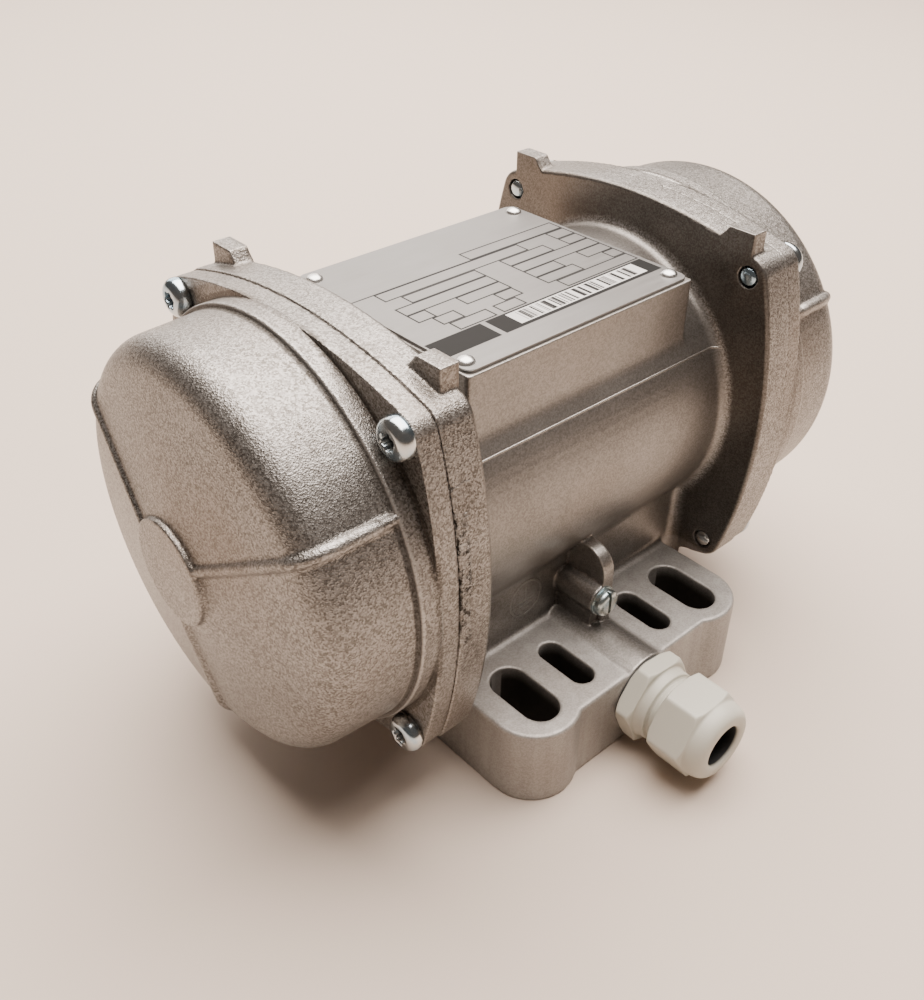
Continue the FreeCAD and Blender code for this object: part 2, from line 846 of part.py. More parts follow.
def cut_inside(body):
    """Stator bore, seats of the bearing shields, terminal chamber and the ways into it."""
    on_axis = (0, dims.axis_height, 0)
    bore = outline(
        (-parting, 0),
        (parting, 0),
        (parting, dims.shield_seat_radius),
        (shield_seat, dims.shield_seat_radius),
        (shield_seat, dims.bore_radius),
        (-shield_seat, dims.bore_radius),
        (-shield_seat, dims.shield_seat_radius),
        (-parting, dims.shield_seat_radius),
    )
    groove(body, "bore", draw(body, "bore_section", "YZ_Plane", [bore], at=on_axis), "H_Axis")
    recess = rectangle(dims.recess_half_width, dims.recess_half_length, dims.recess_depth)
    pocket(body, "recess", draw(body, "recess_shape", "XY_Plane", [recess]), dims.recess_depth, True)
    chamber = rectangle(dims.chamber_half_width, dims.chamber_half_length, dims.recess_depth)
    pocket(body, "chamber", draw(body, "chamber_shape", "XY_Plane", [chamber]), dims.chamber_top, True)
    leads = slot(0, -dims.lead_line, 2 * dims.stud_spacing + dims.lead_hole_width, dims.lead_hole_width)
    shape = draw(body, "lead_hole_shape", "XY_Plane", [leads], at=(0, 0, dims.chamber_top - dims.overlap))
    way_up = dims.axis_height - dims.bore_radius - dims.chamber_top + 3 * dims.overlap
    pocket(body, "lead_hole", shape, way_up, True)
    thread = circle(0, dims.gland_height, dims.gland_thread / 2 + dims.fit_gap)
    shape = draw(body, "gland_thread_shape", "YZ_Plane", [thread], at=(0, 0, crown_end))
    pocket(body, "gland_thread", shape, dims.gland_thread_depth)
    passage = circle(0, dims.gland_height, dims.passage_radius)
    shape = draw(body, "passage_shape", "YZ_Plane", [passage], at=(0, 0, crown_end))
    pocket(body, "passage", shape, crown_end - dims.chamber_half_width + dims.overlap)


def cut_screw_holes(body):
    gap = dims.fit_gap
    cover_holes = four_circles(screw_place, screw_place, dims.cover_screw_thread / 2 + gap)
    shield_holes = four_circles(shield_screw_place, shield_screw_place, dims.shield_screw_thread / 2 + gap)
    shield_depth = dims.shield_screw_length + dims.slack
    for end, plane, reverse in (("front", parting, False), ("rear", -parting, True)):
        at = (0, dims.axis_height, plane)
        shape = draw(body, f"{end}_cover_holes_shape", "XZ_Plane", cover_holes, at=at)
        pocket(body, f"{end}_cover_holes", shape, dims.flange_thick + dims.overlap, reverse)
        shape = draw(body, f"{end}_shield_holes_shape", "XZ_Plane", shield_holes, at=at)
        pocket(body, f"{end}_shield_holes", shape, shield_depth, reverse)
    rivets = four_circles(dims.rivet_place, dims.rivet_line, dims.rivet_radius + gap)
    shape = draw(body, "rivet_holes_shape", "XY_Plane", rivets, at=(0, 0, plate_top))
    pocket(body, "rivet_holes", shape, dims.rivet_length)
    base = four_circles(dims.base_screw_place, dims.base_screw_line, dims.base_screw_thread / 2 + gap)
    depth = dims.recess_depth + dims.base_hole_depth
    pocket(body, "base_holes", draw(body, "base_holes_shape", "XY_Plane", base), depth, True)
    earth = circle(dims.earth_line, dims.earth_height, dims.earth_thread / 2 + gap)
    shape = draw(body, "earth_hole_shape", "YZ_Plane", [earth], at=(0, 0, dims.lug_end))
    pocket(body, "earth_hole", shape, dims.earth_screw_length)
    block = [circle(side * block_screw_place, 0, dims.block_screw_thread / 2 + gap) for side in (-1, 1)]
    shape = draw(body, "block_holes_shape", "XY_Plane", block, at=(0, 0, dims.chamber_top - dims.overlap))
    pocket(body, "block_holes", shape, dims.block_screw_length + dims.slack + dims.overlap, True)


# Covers with their seals and screws

def make_cover(end):
    body = new_piece(f"{end}_cover")
    holes = four_circles(screw_place, screw_place, dims.cover_screw_thread / 2 + dims.run_gap)
    flange = [flange_outline(dims.cover_set_in), *holes]
    shape = draw(body, "flange_shape", "XY_Plane", flange, at=(0, 0, parting))
    pad(body, "flange", shape, dims.cover_flange_thick)
    dome = outline(
        (0, parting),
        (dims.collar_radius, parting),
        corner(dims.collar_radius, dims.collar_end, dims.collar_round),
        (dims.dome_radius, dims.collar_end),
        corner(dims.dome_tip_radius, dims.dome_shoulder, dims.dome_round),
        (dims.hub_radius, dims.cone_end),
        corner(dims.hub_radius, dims.hub_front, dims.hub_round),
        (0, dims.hub_front),
    )
    revolve(body, "dome", draw(body, "dome_section", "XZ_Plane", [dome]))
    sink = dims.rib_sink
    ridge = outline(
        (-dims.dome_radius + sink, dims.collar_end - dims.overlap),
        corner(-dims.dome_tip_radius + sink, dims.dome_shoulder - sink, dims.dome_round - sink),
        (-dims.hub_radius + dims.overlap, dims.cone_end - sink),
        closed=False,
    )
    line = draw(body, "rib_line", "YZ_Plane", [ridge])
    section = circle(0, -dims.dome_radius + sink, dims.rib_radius)
    round_bar = draw(body, "rib_section", "XY_Plane", [section], at=(0, 0, dims.collar_end - dims.overlap))
    ring_of(body, "ribs", [pipe(body, "rib", line, round_bar)], dims.rib_count)
    cavity = outline(
        (0, parting),
        (dims.cavity_radius, parting),
        corner(dims.cavity_radius, dims.cavity_shoulder, dims.cavity_round),
        (0, dims.cavity_crown),
    )
    groove(body, "cavity", draw(body, "cavity_section", "XZ_Plane", [cavity]))
    seal = outline(
        (dims.seal_inner, parting),
        (dims.seal_outer, parting),
        (dims.seal_outer, parting + dims.seal_depth),
        (dims.seal_inner, parting + dims.seal_depth),
    )
    groove(body, "seal_groove", draw(body, "seal_section", "XZ_Plane", [seal]))
    place_end(body, end)


def make_cover_seal(end):
    inner = dims.seal_inner + dims.fit_gap
    outer = dims.seal_outer - dims.fit_gap
    top = parting + dims.seal_depth
    ring = [corner(inner, parting, dims.seal_round), corner(outer, parting, dims.seal_round),
            corner(outer, top, dims.seal_round), corner(inner, top, dims.seal_round)]
    place_end(turned(f"{end}_cover_seal", ring), end)


def make_cover_screws(end):
    body = new_piece(f"{end}_cover_screws")
    one = screw(body, cover_seat, dims.cover_screw_length, dims.cover_screw_thread,
                dims.cover_screw_head_radius, dims.cover_screw_head_height,
                at=(screw_place, screw_place))
    ring_of(body, "ring", one, 4)
    place_end(body, end)


# Bearing shields, bearings and what holds them

def make_bearing_shield(end):
    gap = dims.fit_gap
    rounding = dims.shield_round
    bore = dims.bearing_outer + gap
    ring_end = bearing_end + dims.bearing_ring_thick + 2 * gap
    ring_floor = dims.bearing_outer + dims.bearing_ring_depth
    body = new_piece(f"{end}_bearing_shield")
    section = outline(
        (dims.shield_lip_radius, dims.shield_lip_start),
        (dims.shield_hub_radius, dims.shield_lip_start),
        corner(dims.shield_hub_radius, dims.shield_web_start, rounding),
        corner(dims.shield_skirt_inner, dims.shield_web_start, rounding),
        (dims.shield_skirt_inner, dims.shield_skirt_start),
        (dims.bore_radius - gap, dims.shield_skirt_start),
        (dims.bore_radius - gap, shield_seat),
        (dims.shield_seat_radius - gap, shield_seat),
        (dims.shield_seat_radius - gap, parting),
        (dims.shield_hub_radius + rounding, parting),
        (dims.shield_hub_radius, dims.shield_hub_end),
        (bore, dims.shield_hub_end),
        (bore, ring_end),
        (ring_floor, ring_end),
        (ring_floor, bearing_end),
        (bore, bearing_end),
        (bore, dims.bearing_start),
        (dims.shield_lip_radius, dims.bearing_start),
    )
    revolve(body, "shell", draw(body, "section", "XZ_Plane", [section]))
    holes = four_circles(shield_screw_place, shield_screw_place, dims.shield_screw_thread / 2 + dims.run_gap)
    shape = draw(body, "holes_shape", "XY_Plane", holes, at=(0, 0, parting))
    pocket(body, "holes", shape, dims.shield_rim_thick + dims.overlap)
    place_end(body, end)


def make_shield_screws(end):
    body = new_piece(f"{end}_shield_screws")
    one = screw(body, parting, dims.shield_screw_length, dims.shield_screw_thread,
                dims.shield_screw_head_radius, dims.shield_screw_head_height,
                at=(shield_screw_place, shield_screw_place))
    ring_of(body, "ring", one, 4)
    place_end(body, end)


def make_bearing(end):
    pitch = dims.bearing_pitch
    track = dims.ball_radius + dims.ball_gap
    start = dims.bearing_start
    stop = bearing_end
    rise = dims.outer_land - pitch
    half = root(track * track - rise * rise)
    place_end(turned(f"{end}_bearing_outer_race", [
        (dims.outer_land, start),
        (dims.bearing_outer, start),
        (dims.bearing_outer, stop),
        (dims.outer_land, stop),
        corner(dims.outer_land, bearing_middle + half, bow=track, inward=True),
        (dims.outer_land, bearing_middle - half),
    ]), end)
    rise = pitch - dims.inner_land
    half = root(track * track - rise * rise)
    seat = dims.journal_radius + dims.fit_gap
    place_end(turned(f"{end}_bearing_inner_race", [
        (seat, start),
        (dims.inner_land, start),
        corner(dims.inner_land, bearing_middle - half, bow=track, inward=True),
        (dims.inner_land, bearing_middle + half),
        (dims.inner_land, stop),
        (seat, stop),
    ]), end)
    balls = new_piece(f"{end}_bearing_balls")
    section = draw(balls, "section", "XZ_Plane", [half_disc(dims.ball_radius)], at=(pitch, bearing_middle, 0))
    ring_of(balls, "ring", [revolve(balls, "ball", section)], dims.ball_count)
    place_end(balls, end)
    cage = new_piece(f"{end}_bearing_cage")
    band = outline(
        (dims.cage_inner, bearing_middle - dims.cage_half),
        (dims.cage_outer, bearing_middle - dims.cage_half),
        (dims.cage_outer, bearing_middle + dims.cage_half),
        (dims.cage_inner, bearing_middle + dims.cage_half),
    )
    revolve(cage, "band", draw(cage, "band_section", "XZ_Plane", [band]))
    section = draw(cage, "hollow_section", "XZ_Plane", [half_disc(track)], at=(pitch, bearing_middle, 0))
    ring_of(cage, "hollows", [groove(cage, "hollow", section)], dims.ball_count)
    place_end(cage, end)


def half_disc(radius):
    """Half a disc against the second axis, to turn into a ball."""
    side = radius * DIAGONAL
    return outline(
        corner(0, -radius, bow=radius),
        corner(side, -side, bow=radius),
        corner(side, side, bow=radius),
        (0, radius),
    )


def make_bearing_circlip(end):
    """The spring ring that holds the bearing in its shield: open at the top, with an eye at each end."""
    body = new_piece(f"{end}_bearing_circlip")
    outer = dims.bearing_outer + dims.bearing_ring_depth - dims.fit_gap
    inner = dims.bearing_ring_inner
    bottom = bearing_end + dims.fit_gap
    ring = [(inner, bottom), (outer, bottom), (outer, bottom + dims.bearing_ring_thick),
            (inner, bottom + dims.bearing_ring_thick)]
    revolve(body, "ring", draw(body, "section", "XZ_Plane", [outline(*ring)]))
    half_gap = dims.bearing_ring_thick
    reach = outer + dims.overlap
    opening = outline((-half_gap, 0), (half_gap, 0), (half_gap, reach), (-half_gap, reach))
    at = (0, 0, bottom + dims.bearing_ring_thick)
    shape = draw(body, "opening_shape", "XY_Plane", [opening], at=at)
    pocket(body, "opening", shape, dims.bearing_ring_thick)
    place_end(body, end)


# Stator

def slot_outline(start, end, start_width, end_width):
    return outline(
        (start, -start_width / 2),
        (end, -end_width / 2),
        (end, end_width / 2),
        (start, start_width / 2),
    )


def make_stator():
    core = new_piece("stator_core")
    rings = [circle(0, 0, dims.bore_radius - dims.fit_gap), circle(0, 0, dims.stator_inner)]
    shape = draw(core, "rings", "XY_Plane", rings, at=(0, 0, -dims.stator_half))
    pad(core, "stack", shape, 2 * dims.stator_half)
    top = (0, 0, dims.stator_half)
    half_mouth = dims.slot_mouth / 2
    slot_shape = outline(
        (dims.stator_inner - dims.overlap, -half_mouth),
        (dims.slot_start, -half_mouth),
        (dims.slot_start, -dims.slot_start_width / 2),
        (dims.slot_end, -dims.slot_end_width / 2),
        (dims.slot_end, dims.slot_end_width / 2),
        (dims.slot_start, dims.slot_start_width / 2),
        (dims.slot_start, half_mouth),
        (dims.stator_inner - dims.overlap, half_mouth),
    )
    shape = draw(core, "slot_shape", "XY_Plane", [slot_shape], at=top)
    cut = pocket(core, "slot", shape, 2 * dims.stator_half)
    ring_of(core, "slots", [cut], dims.slot_count)
    place_end(core, "front")
    winding = new_piece("stator_winding")
    rounding = dims.winding_round
    for side, hand in (("front", 1), ("rear", -1)):
        chain = [
            (dims.winding_inner, hand * dims.winding_start),
            (dims.winding_outer, hand * dims.winding_start),
            corner(dims.winding_outer, hand * dims.winding_end, rounding),
            corner(dims.winding_inner, hand * dims.winding_end, rounding),
        ]
        head = outline(*(chain if hand > 0 else chain[::-1]))
        revolve(winding, f"{side}_head", draw(winding, f"{side}_head_section", "XZ_Plane", [head]))
        if side == "front":
            gap = 2 * dims.fit_gap
            bar_shape = slot_outline(dims.slot_start + dims.slot_mouth / 2, dims.slot_end - gap,
                                     dims.slot_start_width - gap, dims.slot_end_width - 2 * gap)
            start = (0, 0, -dims.winding_start)
            bar = pad(winding, "bar", draw(winding, "bar_shape", "XY_Plane", [bar_shape], at=start),
                      2 * dims.winding_start)
            ring_of(winding, "bars", [bar], dims.slot_count)
    place_end(winding, "front")


# Rotor: core, cage and shaft

def make_rotor():
    core = new_piece("rotor_core")
    seat = dims.core_seat_radius + dims.fit_gap
    discs = [circle(0, 0, dims.rotor_radius), circle(0, 0, seat)]
    start = (0, 0, -dims.rotor_half)
    pad(core, "stack", draw(core, "discs", "XY_Plane", discs, at=start), 2 * dims.rotor_half)
    hole = circle(dims.rotor_bar_circle, 0, dims.rotor_bar_radius + dims.fit_gap)
    top = (0, 0, dims.rotor_half)
    shape = draw(core, "bar_hole_shape", "XY_Plane", [hole], at=top)
    cut = pocket(core, "bar_hole", shape, 2 * dims.rotor_half)
    ring_of(core, "bar_holes", [cut], dims.rotor_bar_count)
    place_end(core, "front")
    cage = new_piece("rotor_cage")
    ring = [circle(0, 0, dims.end_ring_outer), circle(0, 0, dims.end_ring_inner)]
    pad(cage, "front_ring", draw(cage, "front_ring_shape", "XY_Plane", ring, at=top), dims.end_ring_length)
    bar = circle(dims.rotor_bar_circle, 0, dims.rotor_bar_radius)
    shape = draw(cage, "bar_shape", "XY_Plane", [bar], at=start)
    bars = pad(cage, "bar", shape, 2 * dims.rotor_half)
    ring_of(cage, "bars", [bars], dims.rotor_bar_count)
    shape = draw(cage, "rear_ring_shape", "XY_Plane", ring, at=start)
    pad(cage, "rear_ring", shape, dims.end_ring_length, True)
    place_end(cage, "front")


def make_shaft():
    shaft = new_piece("rotor_shaft")
    journal = dims.journal_radius
    floor = journal - dims.shaft_ring_depth
    chamfer = dims.shaft_chamfer
    ring_end = ring_start + dims.shaft_ring_thick + 2 * dims.fit_gap
    half = [
        (dims.core_seat_radius, dims.core_seat_half),
        (dims.shoulder_radius, dims.core_seat_half),
        (dims.shoulder_radius, dims.bearing_start),
        (journal, dims.bearing_start),
        (journal, ring_start),
        (floor, ring_start),
        (floor, ring_end),
        (journal, ring_end),
        (journal, dims.shaft_half - chamfer),
        (journal - chamfer, dims.shaft_half),
        (0, dims.shaft_half),
    ]
    mirrored = [(radius, -height) for radius, height in half[::-1]]
    revolve(shaft, "turning", draw(shaft, "section", "XZ_Plane", [outline(*mirrored, *half)]))
    width = dims.key_half_width + dims.fit_gap
    floor = journal - dims.key_height / 2 - dims.fit_gap
    for end, hand in (("front", 1), ("rear", -1)):
        low = fixed_start + (dims.weight_thick - dims.key_length) / 2 - dims.fit_gap
        high = low + dims.key_length + 2 * dims.fit_gap
        chain = [(-width, hand * low), (width, hand * low), (width, hand * high), (-width, hand * high)]
        seat = outline(*(chain if hand > 0 else chain[::-1]))
        shape = draw(shaft, f"{end}_keyway_shape", "XZ_Plane", [seat], at=(0, 0, floor))
        pocket(shaft, f"{end}_keyway", shape, dims.key_height, True)
    place_end(shaft, "front")


# What turns with the shaft outside the bearings: spacer, eccentric weights, keys, bolts and rings

def weight_outline():
    """A clamp hub round the shaft with a heavy lobe below it."""
    return outline(
        corner(-dims.weight_edge, -weight_drop, bow=dims.weight_radius),
        (dims.weight_edge, -weight_drop),
        (dims.clamp_half_width, -dims.weight_shoulder),
        corner(dims.clamp_half_width, dims.clamp_top, dims.clamp_round),
        corner(-dims.clamp_half_width, dims.clamp_top, dims.clamp_round),
        (-dims.clamp_half_width, -dims.weight_shoulder),
    )


def make_weight(label, end, start, keyed):
    """An eccentric weight, split at the top, where a bolt draws it shut on the shaft."""
    body = new_piece(label)
    gap = dims.fit_gap
    bore = dims.journal_radius + gap
    top = (0, 0, start + dims.weight_thick)
    pad(body, "lobe", draw(body, "lobe_shape", "XY_Plane", [weight_outline()], at=(0, 0, start)),
        dims.weight_thick)
    shape = draw(body, "bore_shape", "XY_Plane", [circle(0, 0, bore)], at=top)
    pocket(body, "bore", shape, dims.weight_thick)
    half = dims.weight_slit / 2
    reach = dims.clamp_top + dims.overlap
    slit = outline((-half, 0), (half, 0), (half, reach), (-half, reach))
    pocket(body, "slit", draw(body, "slit_shape", "XY_Plane", [slit], at=top), dims.weight_thick)
    hole = circle(dims.clamp_bolt_height, start + dims.weight_thick / 2, dims.clamp_bolt_thread / 2 + gap)
    shape = draw(body, "bolt_hole_shape", "YZ_Plane", [hole], at=(0, 0, dims.clamp_half_width))
    pocket(body, "bolt_hole", shape, 2 * dims.clamp_half_width)
    if keyed:
        width = dims.key_half_width + gap
        floor = dims.journal_radius + dims.key_height / 2 + gap
        keyway = outline((-width, -floor), (width, -floor), (width, 0), (-width, 0))
        pocket(body, "keyway", draw(body, "keyway_shape", "XY_Plane", [keyway], at=top), dims.weight_thick)
    place_end(body, end)


def make_clamp_bolt(label, end, start):
    """A socket-head bolt across the clamp of a weight, with its head on the +X side."""
    body = new_piece(label)
    radius = dims.clamp_bolt_thread / 2
    seat = dims.clamp_half_width
    middle = start + dims.weight_thick / 2
    tip = dims.overlap - seat
    section = outline(
        (tip, 0),
        (seat + dims.clamp_head_height, 0),
        corner(seat + dims.clamp_head_height, dims.clamp_head_radius, dims.clamp_head_round),
        (seat, dims.clamp_head_radius),
        (seat, radius),
        (tip + dims.screw_tip, radius),
        (tip, radius - dims.screw_tip),
    )
    at = (0, dims.clamp_bolt_height, middle)
    revolve(body, "bolt", draw(body, "section", "XY_Plane", [section], at=at), "H_Axis")
    socket = hexagon(dims.clamp_bolt_height, middle, dims.clamp_head_radius)
    shape = draw(body, "socket_shape", "YZ_Plane", [socket], at=(0, 0, seat + dims.clamp_head_height))
    pocket(body, "socket", shape, dims.clamp_head_height * SOCKET_DEPTH)
    place_end(body, end)


def make_weights(end):
    gap = dims.fit_gap
    bore = dims.journal_radius + gap
    place_end(turned(f"{end}_weight_spacer", [
        (bore, bearing_end), (dims.spacer_radius, bearing_end),
        (dims.spacer_radius, fixed_start), (bore, fixed_start),
    ]), end)
    make_weight(f"{end}_fixed_weight", end, fixed_start, True)
    make_clamp_bolt(f"{end}_fixed_weight_bolt", end, fixed_start)
    make_weight(f"{end}_adjustable_weight", end, loose_start, False)
    make_clamp_bolt(f"{end}_adjustable_weight_bolt", end, loose_start)
    place_end(turned(f"{end}_thrust_washer", [
        (bore, fixed_end), (dims.thrust_washer_radius, fixed_end),
        (dims.thrust_washer_radius, washer_end), (bore, washer_end),
    ]), end)
    key = new_piece(f"{end}_weight_key")
    width = dims.key_half_width
    low = -dims.journal_radius - dims.key_height / 2
    high = -dims.journal_radius + dims.key_height / 2
    box = outline((-width, low), (width, low), (width, high), (-width, high))
    at = (0, 0, fixed_start + (dims.weight_thick - dims.key_length) / 2)
    pad(key, "box", draw(key, "box_shape", "XY_Plane", [box], at=at), dims.key_length)
    place_end(key, end)
    ring = new_piece(f"{end}_shaft_circlip")
    inner = dims.journal_radius - dims.shaft_ring_depth + gap
    bottom = ring_start + gap
    section = outline((inner, bottom), (dims.shaft_ring_radius, bottom),
                      (dims.shaft_ring_radius, bottom + dims.shaft_ring_thick),
                      (inner, bottom + dims.shaft_ring_thick))
    revolve(ring, "ring", draw(ring, "section", "XZ_Plane", [section]))
    half = dims.shaft_ring_thick * 2
    reach = dims.shaft_ring_radius + dims.overlap
    opening = outline((-half, 0), (half, 0), (half, reach), (-half, reach))
    at = (0, 0, bottom + dims.shaft_ring_thick)
    shape = draw(ring, "opening_shape", "XY_Plane", [opening], at=at)
    pocket(ring, "opening", shape, dims.shaft_ring_thick)
    place_end(ring, end)


# Nameplate, earth screw and cable gland

def make_nameplate():
    body = new_piece("nameplate")
    plate = rectangle(dims.plate_half_width, dims.plate_half_length, dims.plate_round)
    holes = four_circles(dims.rivet_place, dims.rivet_line, dims.rivet_radius + dims.fit_gap)
    shape = draw(body, "sheet_shape", "XY_Plane", [plate, *holes], at=(0, 0, plate_top))
    pad(body, "sheet", shape, dims.plate_thick)
    rivets = new_piece("nameplate_rivets")
    seat = plate_top + dims.plate_thick
    section = outline(
        (0, plate_top - dims.rivet_length + dims.slack),
        (dims.rivet_radius, plate_top - dims.rivet_length + dims.slack),
        (dims.rivet_radius, seat),
        (dims.rivet_head_radius, seat),
        corner(dims.rivet_head_radius, seat + dims.rivet_head_height, dims.rivet_head_height * RIVET_ROUND),
        (0, seat + dims.rivet_head_height),
    )
    for side in (-1, 1):
        for line in (-1, 1):
            at = (side * dims.rivet_place, 0, line * dims.rivet_line)
            revolve(rivets, "rivet", draw(rivets, "section", "XZ_Plane", [section], at=at))


def make_earth_screw():
    body = new_piece("earth_screw")
    slot_cut = slot(0, 0, 2 * dims.earth_head_radius, dims.earth_head_height * SLOT_WIDTH)
    seat = dims.earth_washer_thick
    length = dims.earth_screw_length + dims.earth_washer_thick - dims.slack
    screw(body, seat, length, dims.earth_thread, dims.earth_head_radius, dims.earth_head_height,
          drive=slot_cut)
    place_sideways(body, dims.lug_end, dims.earth_line, dims.earth_height)
    inner = dims.earth_thread / 2 + dims.fit_gap
    washer = turned("earth_washer", [
        (inner, 0), (dims.earth_washer_radius, 0), (dims.earth_washer_radius, seat), (inner, seat),
    ])
    place_sideways(washer, dims.lug_end, dims.earth_line, dims.earth_height)


def place_gland(body):
    place_sideways(body, crown_end, 0, dims.gland_height)


def make_gland():
    gap = dims.fit_gap
    thread = dims.gland_thread / 2
    seat = dims.gland_washer_thick
    hex_end = seat + dims.gland_hex_length
    neck_end = dims.gland_neck_end
    washer = [(thread + gap, 0), (dims.gland_washer_radius, 0),
              (dims.gland_washer_radius, seat), (thread + gap, seat)]
    place_gland(turned("gland_washer", washer))
    body = new_piece("gland_body")
    bore = dims.gland_bore_radius
    low = -dims.gland_thread_depth + dims.slack
    section = outline(
        (bore, low),
        (thread, low),
        (thread, seat),
        (dims.gland_collar_radius, seat),
        (dims.gland_collar_radius, hex_end + dims.gland_collar_length),
        (dims.gland_neck_radius, hex_end + dims.gland_collar_length),
        (dims.gland_neck_radius, neck_end),
        (dims.gland_seat_radius, neck_end),
        (dims.gland_seat_radius, neck_end - dims.gland_seat_depth),
        (bore, neck_end - dims.gland_seat_depth),
    )
    revolve(body, "tube", draw(body, "section", "XZ_Plane", [section]))
    flats = hexagon(0, 0, dims.gland_hex_width, GLAND_HEX_TURN)
    ring = [flats, circle(0, 0, (thread + bore) / 2)]
    shape = draw(body, "hexagon_shape", "XY_Plane", ring, at=(0, 0, seat))
    pad(body, "hexagon", shape, dims.gland_hex_length)
    place_gland(body)
    low = neck_end - dims.gland_seat_depth
    outer = dims.gland_seat_radius - gap
    high = neck_end + dims.insert_proud
    place_gland(turned("gland_insert", [
        (dims.insert_inner_radius, low), (outer, low),
        (outer, neck_end), corner(outer, high, dims.insert_round), (dims.insert_inner_radius, high),
    ]))
    nut = new_piece("gland_dome_nut")
    start = dims.nut_start
    hex_end = start + dims.nut_hex_length
    flats = hexagon(0, 0, dims.gland_hex_width, NUT_HEX_TURN)
    shape = draw(nut, "hexagon_shape", "XY_Plane", [flats], at=(0, 0, start))
    pad(nut, "hexagon", shape, dims.nut_hex_length)
    dome = outline(
        (0, hex_end),
        corner(dims.nut_dome_radius, hex_end, bow=dims.nut_dome_bow),
        (dims.nut_front_radius, dims.nut_front),
        (0, dims.nut_front),
    )
    revolve(nut, "dome", draw(nut, "dome_section", "XZ_Plane", [dome]))
    inner = dims.gland_neck_radius + gap
    mouth = dims.nut_mouth_radius
    hollow = outline(
        (0, start),
        (inner, start),
        (inner, neck_end + gap),
        (outer, high),
        (mouth, high + gap),
        (mouth, dims.nut_front),
        (0, dims.nut_front),
    )
    groove(nut, "hollow", draw(nut, "hollow_section", "XZ_Plane", [hollow]))
    place_gland(nut)


# Terminal compartment in the base

def make_terminals():
    gap = dims.fit_gap
    block = new_piece("terminal_block")
    plate = rectangle(dims.block_half_width, dims.block_half_length, dims.block_round)
    radius = dims.block_screw_thread / 2
    screws = [circle(side * block_screw_place, 0, radius + dims.run_gap) for side in (-1, 1)]
    studs = [circle(side * dims.stud_spacing, 0, dims.stud_radius + gap) for side in (-1, 0, 1)]
    shape = draw(block, "block_shape", "XY_Plane", [plate, *screws, *studs], at=(0, 0, block_bottom))
    pad(block, "block", shape, dims.block_height)
    body = new_piece("terminal_block_screws")
    for side in (-1, 1):
        screw(body, -block_bottom, dims.block_height + dims.block_screw_length, dims.block_screw_thread,
              dims.block_screw_head_radius, dims.block_screw_head_height, at=(side * block_screw_place, 0))
    place_under(body)
    low = block_bottom - dims.stud_drop
    pins = [circle(side * dims.stud_spacing, 0, dims.stud_radius) for side in (-1, 0, 1)]
    body = new_piece("terminal_studs")
    shape = draw(body, "stud_shapes", "XY_Plane", pins, at=(0, 0, low))
    pad(body, "studs", shape, dims.stud_drop + dims.block_height - dims.overlap)
    body = new_piece("terminal_nuts")
    nut_top = block_bottom - 2 * dims.lead_radius - 4 * gap
    nuts = []
    for side in (-1, 0, 1):
        nuts.append(hexagon(side * dims.stud_spacing, 0, dims.stud_nut_width, STUD_NUT_TURN))
        nuts.append(circle(side * dims.stud_spacing, 0, dims.stud_radius + gap))
    shape = draw(body, "nut_shapes", "XY_Plane", nuts, at=(0, 0, nut_top - dims.stud_nut_height))
    pad(body, "nuts", shape, dims.stud_nut_height)
    body = new_piece("motor_leads")
    top = dims.axis_height - dims.winding_outer - 2 * gap
    run = block_bottom - dims.lead_radius - 2 * gap
    for side in (-1, 0, 1):
        line = outline(
            (-dims.lead_line, top),
            corner(-dims.lead_line, run, dims.lead_bend),
            (-dims.stud_radius - 2 * gap, run),
            closed=False,
        )
        spine = draw(body, "lead_line", "YZ_Plane", [line], at=(0, 0, side * dims.stud_spacing))
        wire = circle(side * dims.stud_spacing, -dims.lead_line, dims.lead_radius)
        section = draw(body, "lead_section", "XY_Plane", [wire], at=(0, 0, top))
        pipe(body, "lead", spine, section)


def make_base_cover():
    gap = dims.fit_gap
    flush = dims.recess_depth - dims.base_gasket_thick - dims.base_cover_thick
    radius = dims.base_screw_thread / 2
    head = dims.base_screw_head_radius
    places = [(side * dims.base_screw_place, line * dims.base_screw_line)
              for side in (-1, 1) for line in (-1, 1)]
    outer = rectangle(dims.recess_half_width - dims.run_gap, dims.recess_half_length - dims.run_gap,
                      dims.recess_depth - dims.run_gap)
    holes = four_circles(dims.base_screw_place, dims.base_screw_line, radius + dims.run_gap)
    cover = new_piece("base_cover")
    pad(cover, "plate", draw(cover, "plate_shape", "XY_Plane", [outer, *holes], at=(0, 0, flush)),
        dims.base_cover_thick)
    wide = head + gap
    sink = outline((0, flush), (wide, flush), (0, flush + wide))
    for x, y in places:
        groove(cover, "countersink", draw(cover, "countersink_section", "XZ_Plane", [sink], at=(x, 0, -y)))
    gasket = new_piece("base_cover_gasket")
    window = rectangle(dims.chamber_half_width, dims.chamber_half_length, dims.recess_depth)
    at = (0, 0, flush + dims.base_cover_thick)
    shape = draw(gasket, "gasket_shape", "XY_Plane", [outer, window, *holes], at=at)
    pad(gasket, "gasket", shape, dims.base_gasket_thick)
    screws = new_piece("base_cover_screws")
    tip = flush + dims.base_screw_length
    section = outline(
        (0, flush), (head, flush), (radius, flush + head - radius),
        (radius, tip - dims.screw_tip), (radius - dims.screw_tip, tip), (0, tip),
    )
    for x, y in places:
        revolve(screws, "screw", draw(screws, "section", "XZ_Plane", [section], at=(x, 0, -y)))
        drive = hexagon(x, y, head * DRIVE_WIDTH)
        shape = draw(screws, "drive_shape", "XY_Plane", [drive], at=(0, 0, flush))
        pocket(screws, "drive", shape, head * COUNTERSUNK_DRIVE_DEPTH, True)


